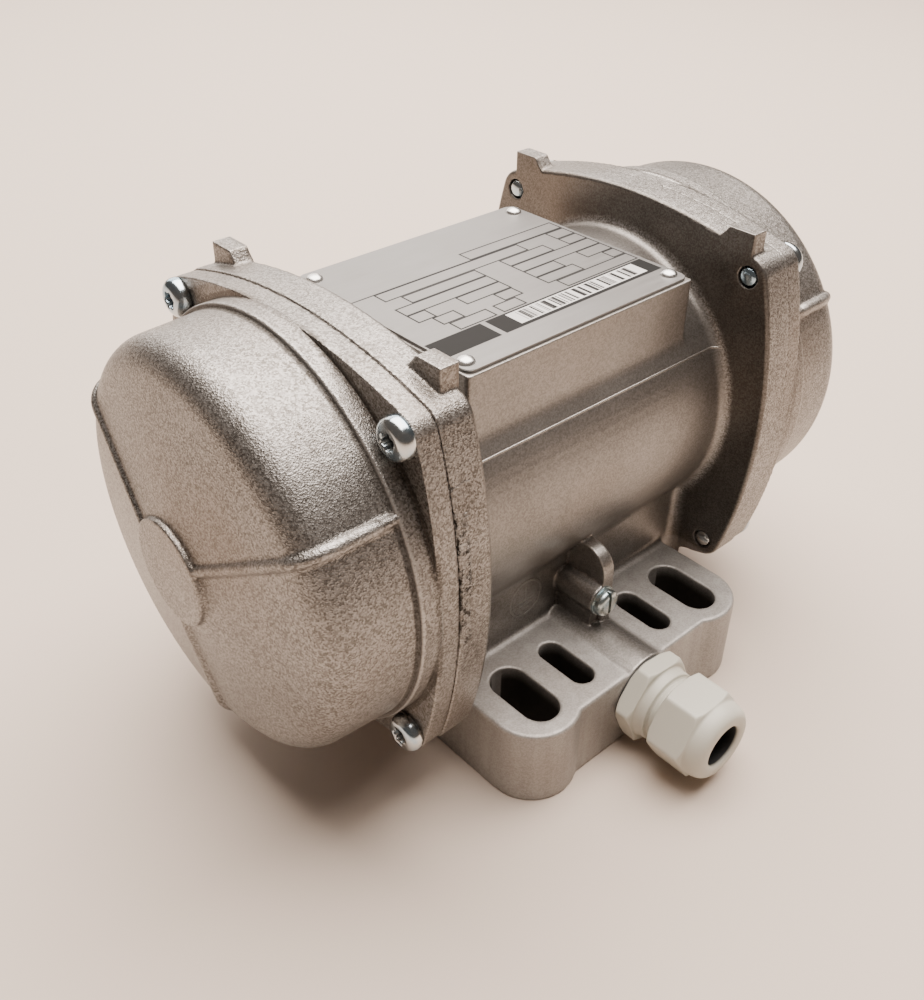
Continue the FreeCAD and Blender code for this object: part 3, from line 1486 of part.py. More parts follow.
make_motor_body()
make_nameplate()
make_earth_screw()
make_gland()
make_stator()
make_rotor()
make_shaft()
make_terminals()
make_base_cover()
for end in ENDS:
    make_cover(end)
    make_cover_seal(end)
    make_cover_screws(end)
    make_bearing_shield(end)
    make_shield_screws(end)
    make_bearing(end)
    make_bearing_circlip(end)
    make_weights(end)
doc.recompute()

for item in doc.Objects:
    if "Invalid" in item.State or "Error" in item.State:
        raise RuntimeError(f"{item.Label} did not build: {item.State}")
os.makedirs("parts", exist_ok=True)
for piece in pieces:
    if piece.Shape.isNull() or not piece.Shape.isValid():
        raise RuntimeError(f"{piece.Label} has no valid shape")
    piece.Shape.exportStep(f"parts/{piece.Label}.step")
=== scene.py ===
import json
import math

import bmesh
import bpy
import numpy as np
from mathutils import Matrix, Vector, geometry


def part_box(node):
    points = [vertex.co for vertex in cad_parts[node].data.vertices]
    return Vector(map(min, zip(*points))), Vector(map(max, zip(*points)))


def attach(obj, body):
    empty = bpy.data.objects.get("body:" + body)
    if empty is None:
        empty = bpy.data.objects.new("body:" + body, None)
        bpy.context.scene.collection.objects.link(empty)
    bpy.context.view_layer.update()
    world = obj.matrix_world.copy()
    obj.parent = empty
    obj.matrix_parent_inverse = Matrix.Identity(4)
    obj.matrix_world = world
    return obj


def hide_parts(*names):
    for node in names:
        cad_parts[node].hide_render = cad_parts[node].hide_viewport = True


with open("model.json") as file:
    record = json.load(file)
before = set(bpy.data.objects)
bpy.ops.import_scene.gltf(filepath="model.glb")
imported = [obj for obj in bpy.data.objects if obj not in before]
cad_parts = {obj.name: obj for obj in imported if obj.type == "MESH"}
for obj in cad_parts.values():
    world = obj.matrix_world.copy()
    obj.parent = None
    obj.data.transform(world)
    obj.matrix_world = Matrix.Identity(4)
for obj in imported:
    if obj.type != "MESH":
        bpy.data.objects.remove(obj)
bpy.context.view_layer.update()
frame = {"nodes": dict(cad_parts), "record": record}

MM = 0.001
ENDS = ("front", "rear")
scene = bpy.context.scene


# Places read from the frame, in metres

def middle(node):
    low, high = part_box(node)
    return (low + high) / 2


def size_of(node):
    low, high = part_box(node)
    return high - low


AXIS_HEIGHT = middle("rotor_shaft").z
PARTING = {"front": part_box("motor_body")[0].y, "rear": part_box("motor_body")[1].y}
UP = Vector((0, 0, 1))
OUTWARD = {"front": Vector((0, -1, 0)), "rear": Vector((0, 1, 0))}


# Shader maths: a channel is one socket, and Python sums on it add Math nodes

class Channel:
    def __init__(self, finish, socket):
        self.finish = finish
        self.socket = socket

    def maths(self, operation, *others, clamp=False):
        settings = {"operation": operation, "use_clamp": clamp}
        return self.finish.node("ShaderNodeMath", settings, dict(enumerate((self, *others))))

    def __add__(self, other):
        return self.maths("ADD", other)

    def __sub__(self, other):
        return self.maths("SUBTRACT", other)

    def __mul__(self, other):
        return self.maths("MULTIPLY", other)

    def __truediv__(self, other):
        return self.maths("DIVIDE", other)

    def __rsub__(self, other):
        return (self * -1) + other

    def __abs__(self):
        return self.maths("ABSOLUTE")

    __radd__ = __add__
    __rmul__ = __mul__

    def clamped(self):
        return self.maths("ADD", 0.0, clamp=True)

    def least(self, other):
        return self.maths("MINIMUM", other)

    def most(self, other):
        return self.maths("MAXIMUM", other)

    def power(self, exponent):
        return self.maths("POWER", exponent)

    def step(self, low, high):
        """0 below low and 1 above high, with a smooth ramp between them."""
        settings = {"interpolation_type": "SMOOTHSTEP"}
        inputs = {"Value": self, "From Min": low, "From Max": high, "To Min": 0.0, "To Max": 1.0}
        return self.finish.node("ShaderNodeMapRange", settings, inputs)

    def within(self, low, high, blur):
        """1 between low and high, 0 outside, with edges that are blur wide."""
        return self.step(low - blur, low + blur) * (1 - self.step(high - blur, high + blur))

    def spread(self, low, high):
        """Maps 0..1 to low..high."""
        return self * (high - low) + low


class Finish:
    """A material being made. node() adds any node and gives its output as a channel."""

    def __init__(self, name):
        self.material = bpy.data.materials.new(name)
        self.material.use_nodes = True
        self.tree = self.material.node_tree
        self.tree.nodes.clear()
        self.place = self.node("ShaderNodeTexCoord", output="Object")

    def node(self, kind, settings=None, inputs=None, output=0):
        made = self.tree.nodes.new(kind)
        for key, setting in (settings or {}).items():
            setattr(made, key, setting)
        for key, given in (inputs or {}).items():
            if isinstance(given, Channel):
                self.tree.links.new(given.socket, made.inputs[key])
            else:
                made.inputs[key].default_value = given
        return Channel(self, made.outputs[output])

    def axes(self):
        """The place on the piece, in metres, along each axis."""
        return [self.node("ShaderNodeSeparateXYZ", inputs={"Vector": self.place}, output=axis)
                for axis in "XYZ"]

    def noise(self, scale, detail=2.0, roughness=0.5, where=None, distortion=0.0):
        inputs = {"Vector": where or self.place, "Scale": scale, "Detail": detail, "Roughness": roughness,
                  "Distortion": distortion}
        return self.node("ShaderNodeTexNoise", inputs=inputs, output="Fac")

    def cells(self, scale, output="Distance"):
        """Scattered grains: the distance to the nearest middle, or a shade of its own for each grain."""
        return self.node("ShaderNodeTexVoronoi", inputs={"Vector": self.place, "Scale": scale}, output=output)

    def attribute(self, name):
        """A number kept on the points of the mesh."""
        return self.node("ShaderNodeAttribute", {"attribute_name": name}, output="Fac")

    def stretched(self, x, y, z):
        """The place on the piece, scaled along each axis, for grain that runs one way."""
        return self.node("ShaderNodeMapping", inputs={"Vector": self.place, "Scale": (x, y, z)})

    def blend(self, first, second, share):
        """A colour that runs from first to second."""
        return self.node("ShaderNodeMix", {"data_type": "RGBA"}, {0: share, 6: first, 7: second}, 2)

    def raised(self, height, depth, strength=1.0, normal=None):
        """A bump of a given depth in metres, over a height from 0 to 1."""
        inputs = {"Height": height, "Distance": depth, "Strength": strength}
        if normal is not None:
            inputs["Normal"] = normal
        return self.node("ShaderNodeBump", inputs=inputs)

    def rounded(self, radius):
        """Normals that run smoothly over sharp edges."""
        return self.node("ShaderNodeBevel", {"samples": 4}, {"Radius": radius})

    def surface(self, **sockets):
        """The finished material, from the values or links of its shader's sockets."""
        inputs = {key.replace("_", " "): given for key, given in sockets.items()}
        shader = self.node("ShaderNodeBsdfPrincipled", inputs=inputs, output="BSDF")
        out = self.tree.nodes.new("ShaderNodeOutputMaterial")
        self.tree.links.new(shader.socket, out.inputs["Surface"])
        return self.material


def grey(level, warmth=0.0):
    """A grey with a little warm or cold in it, as RGBA."""
    return (level * (1 + warmth), level, level * (1 - warmth), 1.0)


# Finishes. Heights are in metres

CAST_DARK = grey(0.085, 0.12)
CAST_BRIGHT = grey(0.40, 0.045)
CAST_STAIN = (0.20, 0.155, 0.12, 1.0)
# The colour of dark gaps, chips and stains, and of the painted shade in foot slots and collar grooves.
CAST_DARK_MARK_AND_SHADE = grey(0.025, 0.2)
GRAINS_PER_METRE = 2500
LUMP_HEIGHT = 0.07 * MM
GRAIN_HEIGHT = 0.08 * MM
MARK_HEIGHT = 0.4 * MM
PLAIN_CASTING = (1.0, 0.0, 0.0, 0.0, 0.0)
# Painted shade inside screw sockets; in the gland's mouth it stands for the black rubber insert.
RECESS = grey(0.012)


def cast_aluminium(name, features=None):
    """Blasted, as-cast aluminium: a sandy skin with faint clouds, a painted highlight on its ridges and
    painted shade in its hollows.

    features gives, for one casting, how strong the sand is and what is dark, bright, raised or dull.
    """
    finish = Finish(name)
    clouds = finish.noise(24, 3, 0.55)
    patches = finish.noise(90, 2, 0.5)
    stains = finish.noise(17, 2, 0.5).step(0.50, 0.72)
    grains = finish.cells(GRAINS_PER_METRE)
    shades = finish.cells(GRAINS_PER_METRE, "Color")
    edge = finish.attribute("edge")
    ridge_highlight = edge.step(0.57, 0.76)
    hollow_shade = 1 - edge.step(0.26, 0.46)
    grit, dark, bright, height, dull = features(finish) if features else PLAIN_CASTING
    speckle = (shades.step(0.1, 0.9) - 0.5) * grit
    # ridge_highlight adds a painted highlight along ridges, and hollow_shade paints shade into hollows.
    tone = clouds * 0.45 + patches * 0.15 + speckle * 0.7 + 0.14 + ridge_highlight * 0.5 - hollow_shade * 0.5 + bright
    metal = finish.blend(CAST_DARK, CAST_BRIGHT, tone.clamped())
    stained = finish.blend(metal, CAST_STAIN, stains * 0.3)
    # dark brings in dark marks and painted shade from the features.
    colour = finish.blend(stained, CAST_DARK_MARK_AND_SHADE, dark)
    rough = clouds.spread(0.35, 0.43) + dark * 0.4 + dull * 0.1
    lumps = finish.raised(patches, LUMP_HEIGHT)
    sanded = finish.raised(grains * grit, GRAIN_HEIGHT, normal=lumps)
    shaped = finish.raised(height, MARK_HEIGHT, normal=sanded)
    return finish.surface(Base_Color=colour, Metallic=0.88 - dull * 0.35, Roughness=rough, Normal=shaped)


# Marks on the castings, in millimetres: where each starts and ends, or over which it fades in.
# ALONG is a place along the shaft, OUT a distance from the shaft or the middle, and RISE a height
# above the shaft. HEIGHT is above the floor.

BARREL_END_ALONG = (50.5, 52.0)
INNER_FACE_ALONG = (51.2, 53.0)
INNER_FACE_OUT = (46.0, 48.0)
SEAM_OUT = (35.8, 36.4)
SEAM_RISE = (21.7, 22.05)
HIGHLIGHT_BAND_RISE = (22.0, 26.0)
GLAND_SIDE_OUT = (50.0, 51.5)
TORN_DEPTH = 4.0
GAP_ALONG = (-62.3, -61.7)
GAP_RISE = (-6.0, 34.0)
CHIPS_ALONG = (-61.9, -58.6)
CHIPS_RISE = (-12.0, 24.0)
RUBS_ALONG = (-61.4, -55.5)
RUBS_RISE = (4.0, 34.0)
STAIN_ALONG = (-60.6, -54.0)
STAIN_RISE = (-24.0, -8.0)
OUTER_SLOT_ALONG = (27.4, 40.2)
INNER_SLOT_ALONG = (12.0, 21.0)
SLOT_OUT = (40.8, 64.0)
SLOT_MOUTH_HEIGHT = (20.5, 25.4)
FOOT_TOP_HEIGHT = (25.6, 27.0)
SIGN_ALONG = -15.2
SIGN_HEIGHT = 36.7
SIGN_OUT = (30.0, 34.0)
SIGN_RING = (5.7, 6.5)
SIGN_STROKE = (-0.35, 0.35)
SIGN_STEM = (-0.6, 4.4)
SIGN_BARS = ((0.6, 3.6), (2.1, 2.5), (3.6, 1.3))
COLLAR_GROOVE_ALONG = (72.9, 74.5)
COLLAR_GROOVE_OUT = (55.5, 56.7)
COLLAR_ROOT_ALONG = (67.0, 69.0)
COLLAR_ROOT_OUT = (56.9, 58.4)


def earth_sign(x, y, z):
    """A ring around a stem and three bars, each bar lower and shorter than the last."""
    along = y - SIGN_ALONG
    above = z - SIGN_HEIGHT
    sign = (along.power(2.0) + above.power(2.0)).power(0.5).within(*SIGN_RING, 0.12)
    for drop, reach in SIGN_BARS:
        sign = sign.most(along.within(-reach, reach, 0.1) * (above + drop).within(*SIGN_STROKE, 0.1))
    sign = sign.most(along.within(*SIGN_STROKE, 0.1) * above.within(*SIGN_STEM, 0.1))
    return sign * x.within(*SIGN_OUT, 0.3)


def body_features(finish):
    """Parting seams, the ragged gap at the front joint, draw marks on the feet and the raised earth sign,
    with painted shade in the foot slots and on the flanges' inner faces, and a painted highlight band on the
    barrel.
    """
    x, y, z = (axis / MM for axis in finish.axes())
    rise = z - AXIS_HEIGHT / MM
    between = 1 - abs(y).step(*BARREL_END_ALONG)
    outside = abs(x).step(*SEAM_OUT)
    around = (x.power(2.0) + rise.power(2.0)).power(0.5)
    inner = abs(y).within(*INNER_FACE_ALONG, 0.4) * around.step(*INNER_FACE_OUT)
    grit = 1.0 - (between * 0.62).most(inner * 0.7)
    seam = rise.within(*SEAM_RISE, 0.12) * outside * between
    # A painted highlight band on the barrel, just below the seat.
    highlight_band = rise.within(*HIGHLIGHT_BAND_RISE, 0.6) * outside * between
    ragged = finish.noise(520, 4, 0.75)
    torn = y + (ragged - 0.5) * TORN_DEPTH
    side = x.step(*GLAND_SIDE_OUT)
    broken = finish.noise(210, 2, 0.6).step(0.46, 0.54)
    gap = torn.within(*GAP_ALONG, 0.12) * side * rise.within(*GAP_RISE, 3.0) * broken
    chips = torn.within(*CHIPS_ALONG, 0.5) * side * rise.within(*CHIPS_RISE, 4.0) * ragged.step(0.52, 0.58)
    rubs = finish.noise(420, 2, 0.7, finish.stretched(1.0, 0.25, 1.0)).step(0.56, 0.64) - 0.25
    rubs = rubs * side * torn.within(*RUBS_ALONG, 0.6) * rise.within(*RUBS_RISE, 3.0)
    stain = side * torn.within(*STAIN_ALONG, 1.2) * rise.within(*STAIN_RISE, 5.0) * ragged.step(0.36, 0.62)
    dark = gap.most(chips * 0.8).most(stain * 0.45)
    # Painted shade inside the slots of the feet, growing darker below their mouths.
    slots = abs(y).within(*OUTER_SLOT_ALONG, 0.1).most(abs(y).within(*INNER_SLOT_ALONG, 0.1))
    depth = slots * abs(x).within(*SLOT_OUT, 0.1) * (1 - z.step(*SLOT_MOUTH_HEIGHT))
    draws = finish.noise(240, 3, 0.6, finish.stretched(1.0, 1.0, 0.05)) - 0.5
    feet = (1 - z.step(*FOOT_TOP_HEIGHT)) * (1 - depth)
    sign = earth_sign(x, y, z)
    # inner * 0.30 paints shade on the inner faces of the flanges.
    bright = seam * 0.3 + rubs * 0.35 + highlight_band * 0.12 + (draws * 0.6 + 0.3) * feet + sign * 0.2 - inner * 0.30
    height = seam * 0.4 + sign * 1.2 + rubs * 0.4 - gap.most(chips) * 1.2
    return grit, dark.most(depth * 0.95), bright, height, feet


def cover_features(finish):
    """Long faint scratches from handling, and painted shade in the hollows on both sides of the collar."""
    x, y, z = (axis / MM for axis in finish.axes())
    radius = (x.power(2.0) + (z - AXIS_HEIGHT / MM).power(2.0)).power(0.5)
    # Painted shade in the groove at the collar's step and, through root, at the collar's base.
    groove_shade = radius.within(*COLLAR_GROOVE_OUT, 0.2) * abs(y).within(*COLLAR_GROOVE_ALONG, 0.3)
    root = radius.within(*COLLAR_ROOT_OUT, 0.4) * abs(y).within(*COLLAR_ROOT_ALONG, 0.5)
    course = finish.noise(16, 2, 0.5, distortion=0.6)
    place = finish.noise(9, 1, 0.5)
    scratch = (1 - abs(course - 0.5).step(0.0, 0.0016)) * place.step(0.52, 0.60)
    return 1.0, groove_shade * 0.6, scratch * 0.3 - root * 0.5, scratch * 0.2, 0.0


def zinc_steel(name, tint=(0.62, 0.64, 0.64, 1.0), rough=0.14):
    """Zinc-plated steel with a thin blue passivation, and painted shade in its sockets."""
    finish = Finish(name)
    film = finish.noise(190, 2, 0.5, distortion=0.5).step(0.35, 0.65)
    scuff = finish.noise(1800, 2, 0.6)
    shade = finish.attribute("shade")
    passivated = (tint[0] * 0.62, tint[1] * 0.80, tint[2] * 0.95, 1.0)
    # shade paints the socket's inside near black.
    colour = finish.blend(finish.blend(tint, passivated, film), RECESS, shade)
    normal = finish.raised(scuff, 0.02 * MM, 0.3, finish.rounded(0.25 * MM))
    return finish.surface(Base_Color=colour, Metallic=1.0, Normal=normal,
                          Roughness=scuff.spread(rough - 0.05, rough + 0.12) + shade * 0.3)


def plain_metal(name, colour, rough, brushed=(1, 1, 1)):
    """A machined metal. brushed is smallest along the way that its fine lines run."""
    finish = Finish(name)
    lines = finish.noise(900, 3, 0.6, finish.stretched(*brushed))
    cloud = finish.noise(60, 2, 0.5)
    dark = tuple(part * 0.8 for part in colour[:3]) + (1.0,)
    normal = finish.raised(lines, 0.03 * MM, 0.5, finish.rounded(0.3 * MM))
    return finish.surface(Base_Color=finish.blend(dark, colour, (cloud * 0.6 + lines * 0.5).clamped()),
                          Metallic=1.0, Roughness=lines.spread(rough - 0.08, rough + 0.1), Normal=normal)


def moulded_plastic(name, colour, rough=0.42):
    """A plastic with a fine spark-eroded texture, and a dark mouth."""
    finish = Finish(name)
    cloud = finish.noise(45, 2, 0.5)
    texture = finish.noise(1300, 2, 0.5)
    dark = tuple(part * 0.93 for part in colour[:3]) + (1.0,)
    normal = finish.raised(texture, 0.04 * MM, 0.35, finish.rounded(0.2 * MM))
    shade = finish.attribute("shade")
    mottled = finish.blend(dark, colour, cloud)
    return finish.surface(Base_Color=finish.blend(mottled, RECESS, shade), Normal=normal,
                          Roughness=texture.spread(rough - 0.06, rough + 0.08) + shade * 0.3)


def rubber(name, level=0.025):
    finish = Finish(name)
    bloom = finish.noise(160, 3, 0.6)
    normal = finish.raised(bloom, 0.05 * MM, 0.4)
    return finish.surface(Base_Color=finish.blend(grey(level), grey(level * 1.7), bloom),
                          Roughness=bloom.spread(0.6, 0.8), Normal=normal)


# Mesh helpers

def add_object(name, mesh, material=None):
    made = bpy.data.objects.new(name, mesh)
    scene.collection.objects.link(made)
    if material is not None:
        made.data.materials.clear()
        made.data.materials.append(material)
    return made


def finished_mesh(made, name):
    """The object's mesh with its modifiers applied. The object itself is removed."""
    bpy.context.view_layer.update()
    view = bpy.context.evaluated_depsgraph_get()
    mesh = bpy.data.meshes.new_from_object(made.evaluated_get(view))
    mesh.name = name
    bpy.data.objects.remove(made)
    return mesh


def smooth(mesh):
    mesh.polygons.foreach_set("use_smooth", [True] * len(mesh.polygons))
    mesh.update()


def turn_to(direction):
    """The turn that points a piece's own Z axis along a direction, with its X axis kept level."""
    across = UP.cross(direction)
    across = Vector((1, 0, 0)) if across.length < 1e-6 else across.normalized()
    return Matrix((across, direction.cross(across), direction)).transposed().to_4x4()


def mesh_of(shape, name):
    """Turns a bmesh into a mesh."""
    mesh = bpy.data.meshes.new(name)
    shape.to_mesh(mesh)
    shape.free()
    return mesh


def closed_mesh(shape, name):
    """Turns a bmesh into a mesh whose faces point outwards."""
    bmesh.ops.recalc_face_normals(shape, faces=shape.faces)
    return mesh_of(shape, name)


def join_loops(shape, near, far):
    """A band of faces between two loops of as many points."""
    for number in range(len(near)):
        ahead = (number + 1) % len(near)
        shape.faces.new((near[number], near[ahead], far[ahead], far[number]))


def lathe(name, rings, steps=72):
    """A closed surface through rings of (radius, height). A radius may be a function of the angle."""
    shape = bmesh.new()
    loops = []
    for radius, height in rings:
        if radius == 0:
            loops.append([shape.verts.new((0, 0, height))])
            continue
        loop = []
        for number in range(steps):
            angle = 2 * math.pi * number / steps
            reach = radius(angle) if callable(radius) else radius
            loop.append(shape.verts.new((reach * math.cos(angle), reach * math.sin(angle), height)))
        loops.append(loop)
    pairs = list(zip(loops, loops[1:]))
    if len(loops[0]) > 1 and len(loops[-1]) > 1:
        pairs.append((loops[-1], loops[0]))
    for low, high in pairs:
        for number in range(steps):
            ahead = (number + 1) % steps
            corners = [low[number % len(low)], low[ahead % len(low)], high[ahead % len(high)],
                       high[number % len(high)]]
            shape.faces.new(list(dict.fromkeys(corners)))
    mesh = closed_mesh(shape, name)
    smooth(mesh)
    return mesh


def shade_rings(mesh, rings, first, last, steps):
    """Darkens the rings of a lathe from first to last: painted shade inside a socket, or the black of a
    rubber insert in a mouth.
    """
    shade = []
    for number, (radius, _) in enumerate(rings):
        shade += [1.0 if first <= number <= last else 0.0] * (1 if radius == 0 else steps)
    mesh.attributes.new("shade", "FLOAT", "POINT").data.foreach_set("value", shade)
    return mesh


def quarter_round(radius, height, rounding, count=5):
    """Points of a quarter round in a lathe's rings, from its side to its top."""
    angles = [math.radians(90 * number / count) for number in range(count + 1)]
    return [(radius + rounding * math.cos(angle), height + rounding * math.sin(angle)) for angle in angles]


def hexagon(across_flats, rounding):
    """The radius of a hexagon at an angle, with its corners cut back by a rounding."""
    flat = across_flats / 2
    widest = flat / math.cos(math.radians(30)) - rounding
    sixth = math.pi / 3
    return lambda angle: min(flat / math.cos((angle + sixth / 2) % sixth - sixth / 2), widest)


def star(radius, depth):
    """The radius of a six-lobe socket at an angle."""
    return lambda angle: radius - depth * (0.5 - 0.5 * math.cos(6 * angle))


# A casting: the CAD solid with the soft edges and skin of a real one

CAST_VOXEL = 0.4 * MM
CAST_SMOOTHING = 4
BODY_FACES = 190000
COVER_FACES = 150000
BARREL_RADIUS = 44.1 * MM
BARREL_HALF_LENGTH = 51 * MM
SEAT_HALF_WIDTH = 35.3 * MM
SEAT_HALF_LENGTH = 40 * MM
SEAT_FILLET = 3.0 * MM
PEDESTAL_HALF_WIDTH = 32.8 * MM
PEDESTAL_FILLET = 2.5 * MM
FILLET_ROOT = 2 * MM
JOINT_DEPTH = 0.3 * MM
JOINT_FILLER_WALL = 2 * MM
JOINT_FILLER_REACH = 1 * MM


def mark_edges(mesh):
    """Keeps on each point how the skin bends there: above 0.5 on ridges and below it in hollows."""
    count = len(mesh.vertices)
    places = np.empty(count * 3)
    mesh.vertices.foreach_get("co", places)
    places = places.reshape(-1, 3)
    normals = np.empty(count * 3)
    mesh.vertex_normals.foreach_get("vector", normals)
    normals = normals.reshape(-1, 3)
    ends = np.empty(len(mesh.edges) * 2, dtype=int)
    mesh.edges.foreach_get("vertices", ends)
    near, far = ends.reshape(-1, 2).T
    course = places[far] - places[near]
    course /= np.maximum(np.linalg.norm(course, axis=1), 1e-9)[:, None]
    ways = np.bincount(near, minlength=count) + np.bincount(far, minlength=count)
    bend = np.bincount(near, -(course * normals[near]).sum(axis=1), count)
    bend += np.bincount(far, (course * normals[far]).sum(axis=1), count)
    bend /= np.maximum(ways, 1)
    for _ in range(2):
        around = np.bincount(near, bend[far], count) + np.bincount(far, bend[near], count)
        bend = (bend + around) / (ways + 1)
    edge = mesh.attributes.new("edge", "FLOAT", "POINT")
    edge.data.foreach_set("value", np.clip(0.5 + 1.5 * bend, 0.0, 1.0).astype(np.float32))


def soft_casting(node, name, faces, extras):
    """A cast node's solid and its extra lumps, grown together, softened and thinned."""
    shape = bmesh.new()
    shape.from_mesh(frame["nodes"][node].data)
    bmesh.ops.remove_doubles(shape, verts=shape.verts, dist=1e-6)
    for extra in extras:
        shape.from_mesh(extra)
    rough = add_object(name + "_rough", mesh_of(shape, name))
    grow = rough.modifiers.new("grow", "REMESH")
    grow.mode = "VOXEL"
    grow.voxel_size = CAST_VOXEL
    soften = rough.modifiers.new("soften", "SMOOTH")
    soften.factor = 0.5
    soften.iterations = CAST_SMOOTHING
    soft = add_object(name + "_soft", finished_mesh(rough, name + "_soft"))
    fewer = soft.modifiers.new("fewer", "DECIMATE")
    fewer.ratio = min(1.0, faces / (2 * len(soft.data.polygons)))
    return finished_mesh(soft, name)


def cast_skin(node, name, body, faces, material, extras=(), trims=()):
    """A piece that stands for a cast node. trims are joined to its soft shape and stay crisp."""
    shape = bmesh.new()
    shape.from_mesh(soft_casting(node, name, faces, extras))
    for trim in trims:
        shape.from_mesh(trim)
    cast = add_object(name, mesh_of(shape, name), material)
    smooth(cast.data)
    mark_edges(cast.data)
    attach(cast, body)
    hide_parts(node)


def prism(name, points, start, stop):
    """A straight bar along Y, from a section of (x, z) points."""
    shape = bmesh.new()
    near = [shape.verts.new((x, start, z)) for x, z in points]
    far = [shape.verts.new((x, stop, z)) for x, z in points]
    shape.faces.new(near)
    shape.faces.new(far[::-1])
    join_loops(shape, far, near)
    return closed_mesh(shape, name)


def fillet_section(wall, corner, foot, count=4):
    """An (x, z) section that fills a hollow corner with a curve from the wall to the foot."""
    curve = []
    for number in range(count + 1):
        share = number / count
        curve.append(wall * (1 - share) ** 2 + corner * (2 * share * (1 - share)) + foot * share ** 2)
    return curve


def body_fillets():
    """Bars that soften the hollow corners where flat walls run into the barrel."""
    corners = (("seat_fillet", SEAT_HALF_WIDTH, 1, SEAT_FILLET, SEAT_HALF_LENGTH),
               ("pedestal_fillet", PEDESTAL_HALF_WIDTH, -1, PEDESTAL_FILLET, BARREL_HALF_LENGTH))
    bars = []
    for side in (-1, 1):
        for name, wall_x, rise, reach, length in corners:
            angle = math.acos(wall_x / BARREL_RADIUS)
            corner = Vector((wall_x, math.sin(angle) * BARREL_RADIUS * rise))
            wall = corner + Vector((0, reach * rise))
            turned = angle - reach / BARREL_RADIUS
            foot = Vector((math.cos(turned), math.sin(turned) * rise)) * BARREL_RADIUS
            root = [Vector((foot.x - FILLET_ROOT, foot.y)), Vector((wall.x - FILLET_ROOT, wall.y))]
            section = [(side * point.x, AXIS_HEIGHT + point.y)
                       for point in fillet_section(wall, corner, foot) + root]
            bars.append(prism(name, section, -length, length))
    return bars


def joint_filler(end):
    """A thin ring just under the softened edges of a cover's joint, so that it closes to a fine line."""
    parting = PARTING[end]
    rim = [point.co for point in frame["nodes"][f"{end}_cover"].data.vertices
           if abs(point.co.y - parting) < 0.05 * MM]
    flat = [Vector((point.x, point.z - AXIS_HEIGHT)) for point in rim]
    outline = [flat[number] for number in geometry.convex_hull_2d(flat)]
    reach = max(point.x for point in outline)
    outer = 1 - JOINT_DEPTH / reach
    inner = outer - JOINT_FILLER_WALL / reach
    shape = bmesh.new()
    near = parting - JOINT_FILLER_REACH
    far = parting + JOINT_FILLER_REACH
    loops = [[shape.verts.new((point.x * share, y, AXIS_HEIGHT + point.y * share)) for point in outline]
             for share, y in ((outer, near), (outer, far), (inner, far), (inner, near))]
    for low, high in zip(loops, loops[1:] + loops[:1]):
        join_loops(shape, low, high)
    return closed_mesh(shape, "joint_filler")


def tube(name, centres, radii, sides=20):
    """A closed round bar through centres, with a radius at each."""
    shape = bmesh.new()
    loops = []
    for number, (centre, radius) in enumerate(zip(centres, radii)):
        ahead = centres[min(number + 1, len(centres) - 1)]
        behind = centres[max(number - 1, 0)]
        course = (ahead - behind).normalized()
        side = course.cross(Vector((0.3, 0.2, 0.9))).normalized()
        rise = side.cross(course)
        loop = []
        for step in range(sides):
            angle = 2 * math.pi * step / sides
            loop.append(shape.verts.new(centre + (side * math.cos(angle) + rise * math.sin(angle)) * radius))
        loops.append(loop)
    for near, far in zip(loops, loops[1:]):
        join_loops(shape, near, far)
    shape.faces.new(loops[0])
    shape.faces.new(loops[-1])
    return closed_mesh(shape, name)


# The ribs and the collar of a cover: each place is a distance out from the shaft and one along it.
# The collar's section is in millimetres.

RIB_FOOT = Vector((55.5, 75.6)) * MM
RIB_SHOULDER = Vector((54.4, 96.0)) * MM
RIB_HUB = Vector((14.0, 103.1)) * MM
RIB_BEND = 8.6 * MM
RIB_ANGLES = (30, 150, 270)
RIB_TIP_RADII = [0.7 * MM, 1.75 * MM]
RIB_RADIUS = 1.9 * MM
RIB_TAPER = 0.13 * MM
RIB_LEAST_RADIUS = 0.85 * MM
COLLAR_SECTION = ((55.0, 67.0), (56.6, 67.0), (57.0, 67.5), (57.0, 68.1), (57.0, 70.2), (57.0, 72.3),
                  (57.0, 72.9), (56.6, 73.4), (55.0, 73.4))


def cover_trims(end):
    """What stays crisp on a cover: its three ribs and the step of its collar."""
    away = OUTWARD[end]
    centre = Vector((0, 0, AXIS_HEIGHT))
    start = RIB_SHOULDER + (RIB_FOOT - RIB_SHOULDER).normalized() * RIB_BEND
    stop = RIB_SHOULDER + (RIB_HUB - RIB_SHOULDER).normalized() * RIB_BEND
    course = [RIB_FOOT + (start - RIB_FOOT) * share / 6 for share in range(6)]
    course += fillet_section(start, RIB_SHOULDER, stop, 10)
    course += [stop + (RIB_HUB - stop) * share / 6 for share in range(1, 7)]
    radii = RIB_TIP_RADII + [RIB_RADIUS] * 6 + [RIB_RADIUS - RIB_TAPER * step for step in range(9)]
    radii += [RIB_LEAST_RADIUS] * (len(course) - len(radii))
    trims = []
    for angle in RIB_ANGLES:
        out = Vector((math.cos(math.radians(angle)), 0, math.sin(math.radians(angle))))
        centres = [centre + out * reach + away * along for reach, along in course]
        trims.append(tube("rib", centres, radii))
    collar = lathe("collar", [(radius * MM, along * MM) for radius, along in COLLAR_SECTION], 240)
    collar.transform(Matrix.Translation(centre) @ turn_to(away))
    return trims + [collar]


# Geometry Nodes: pieces repeated at points

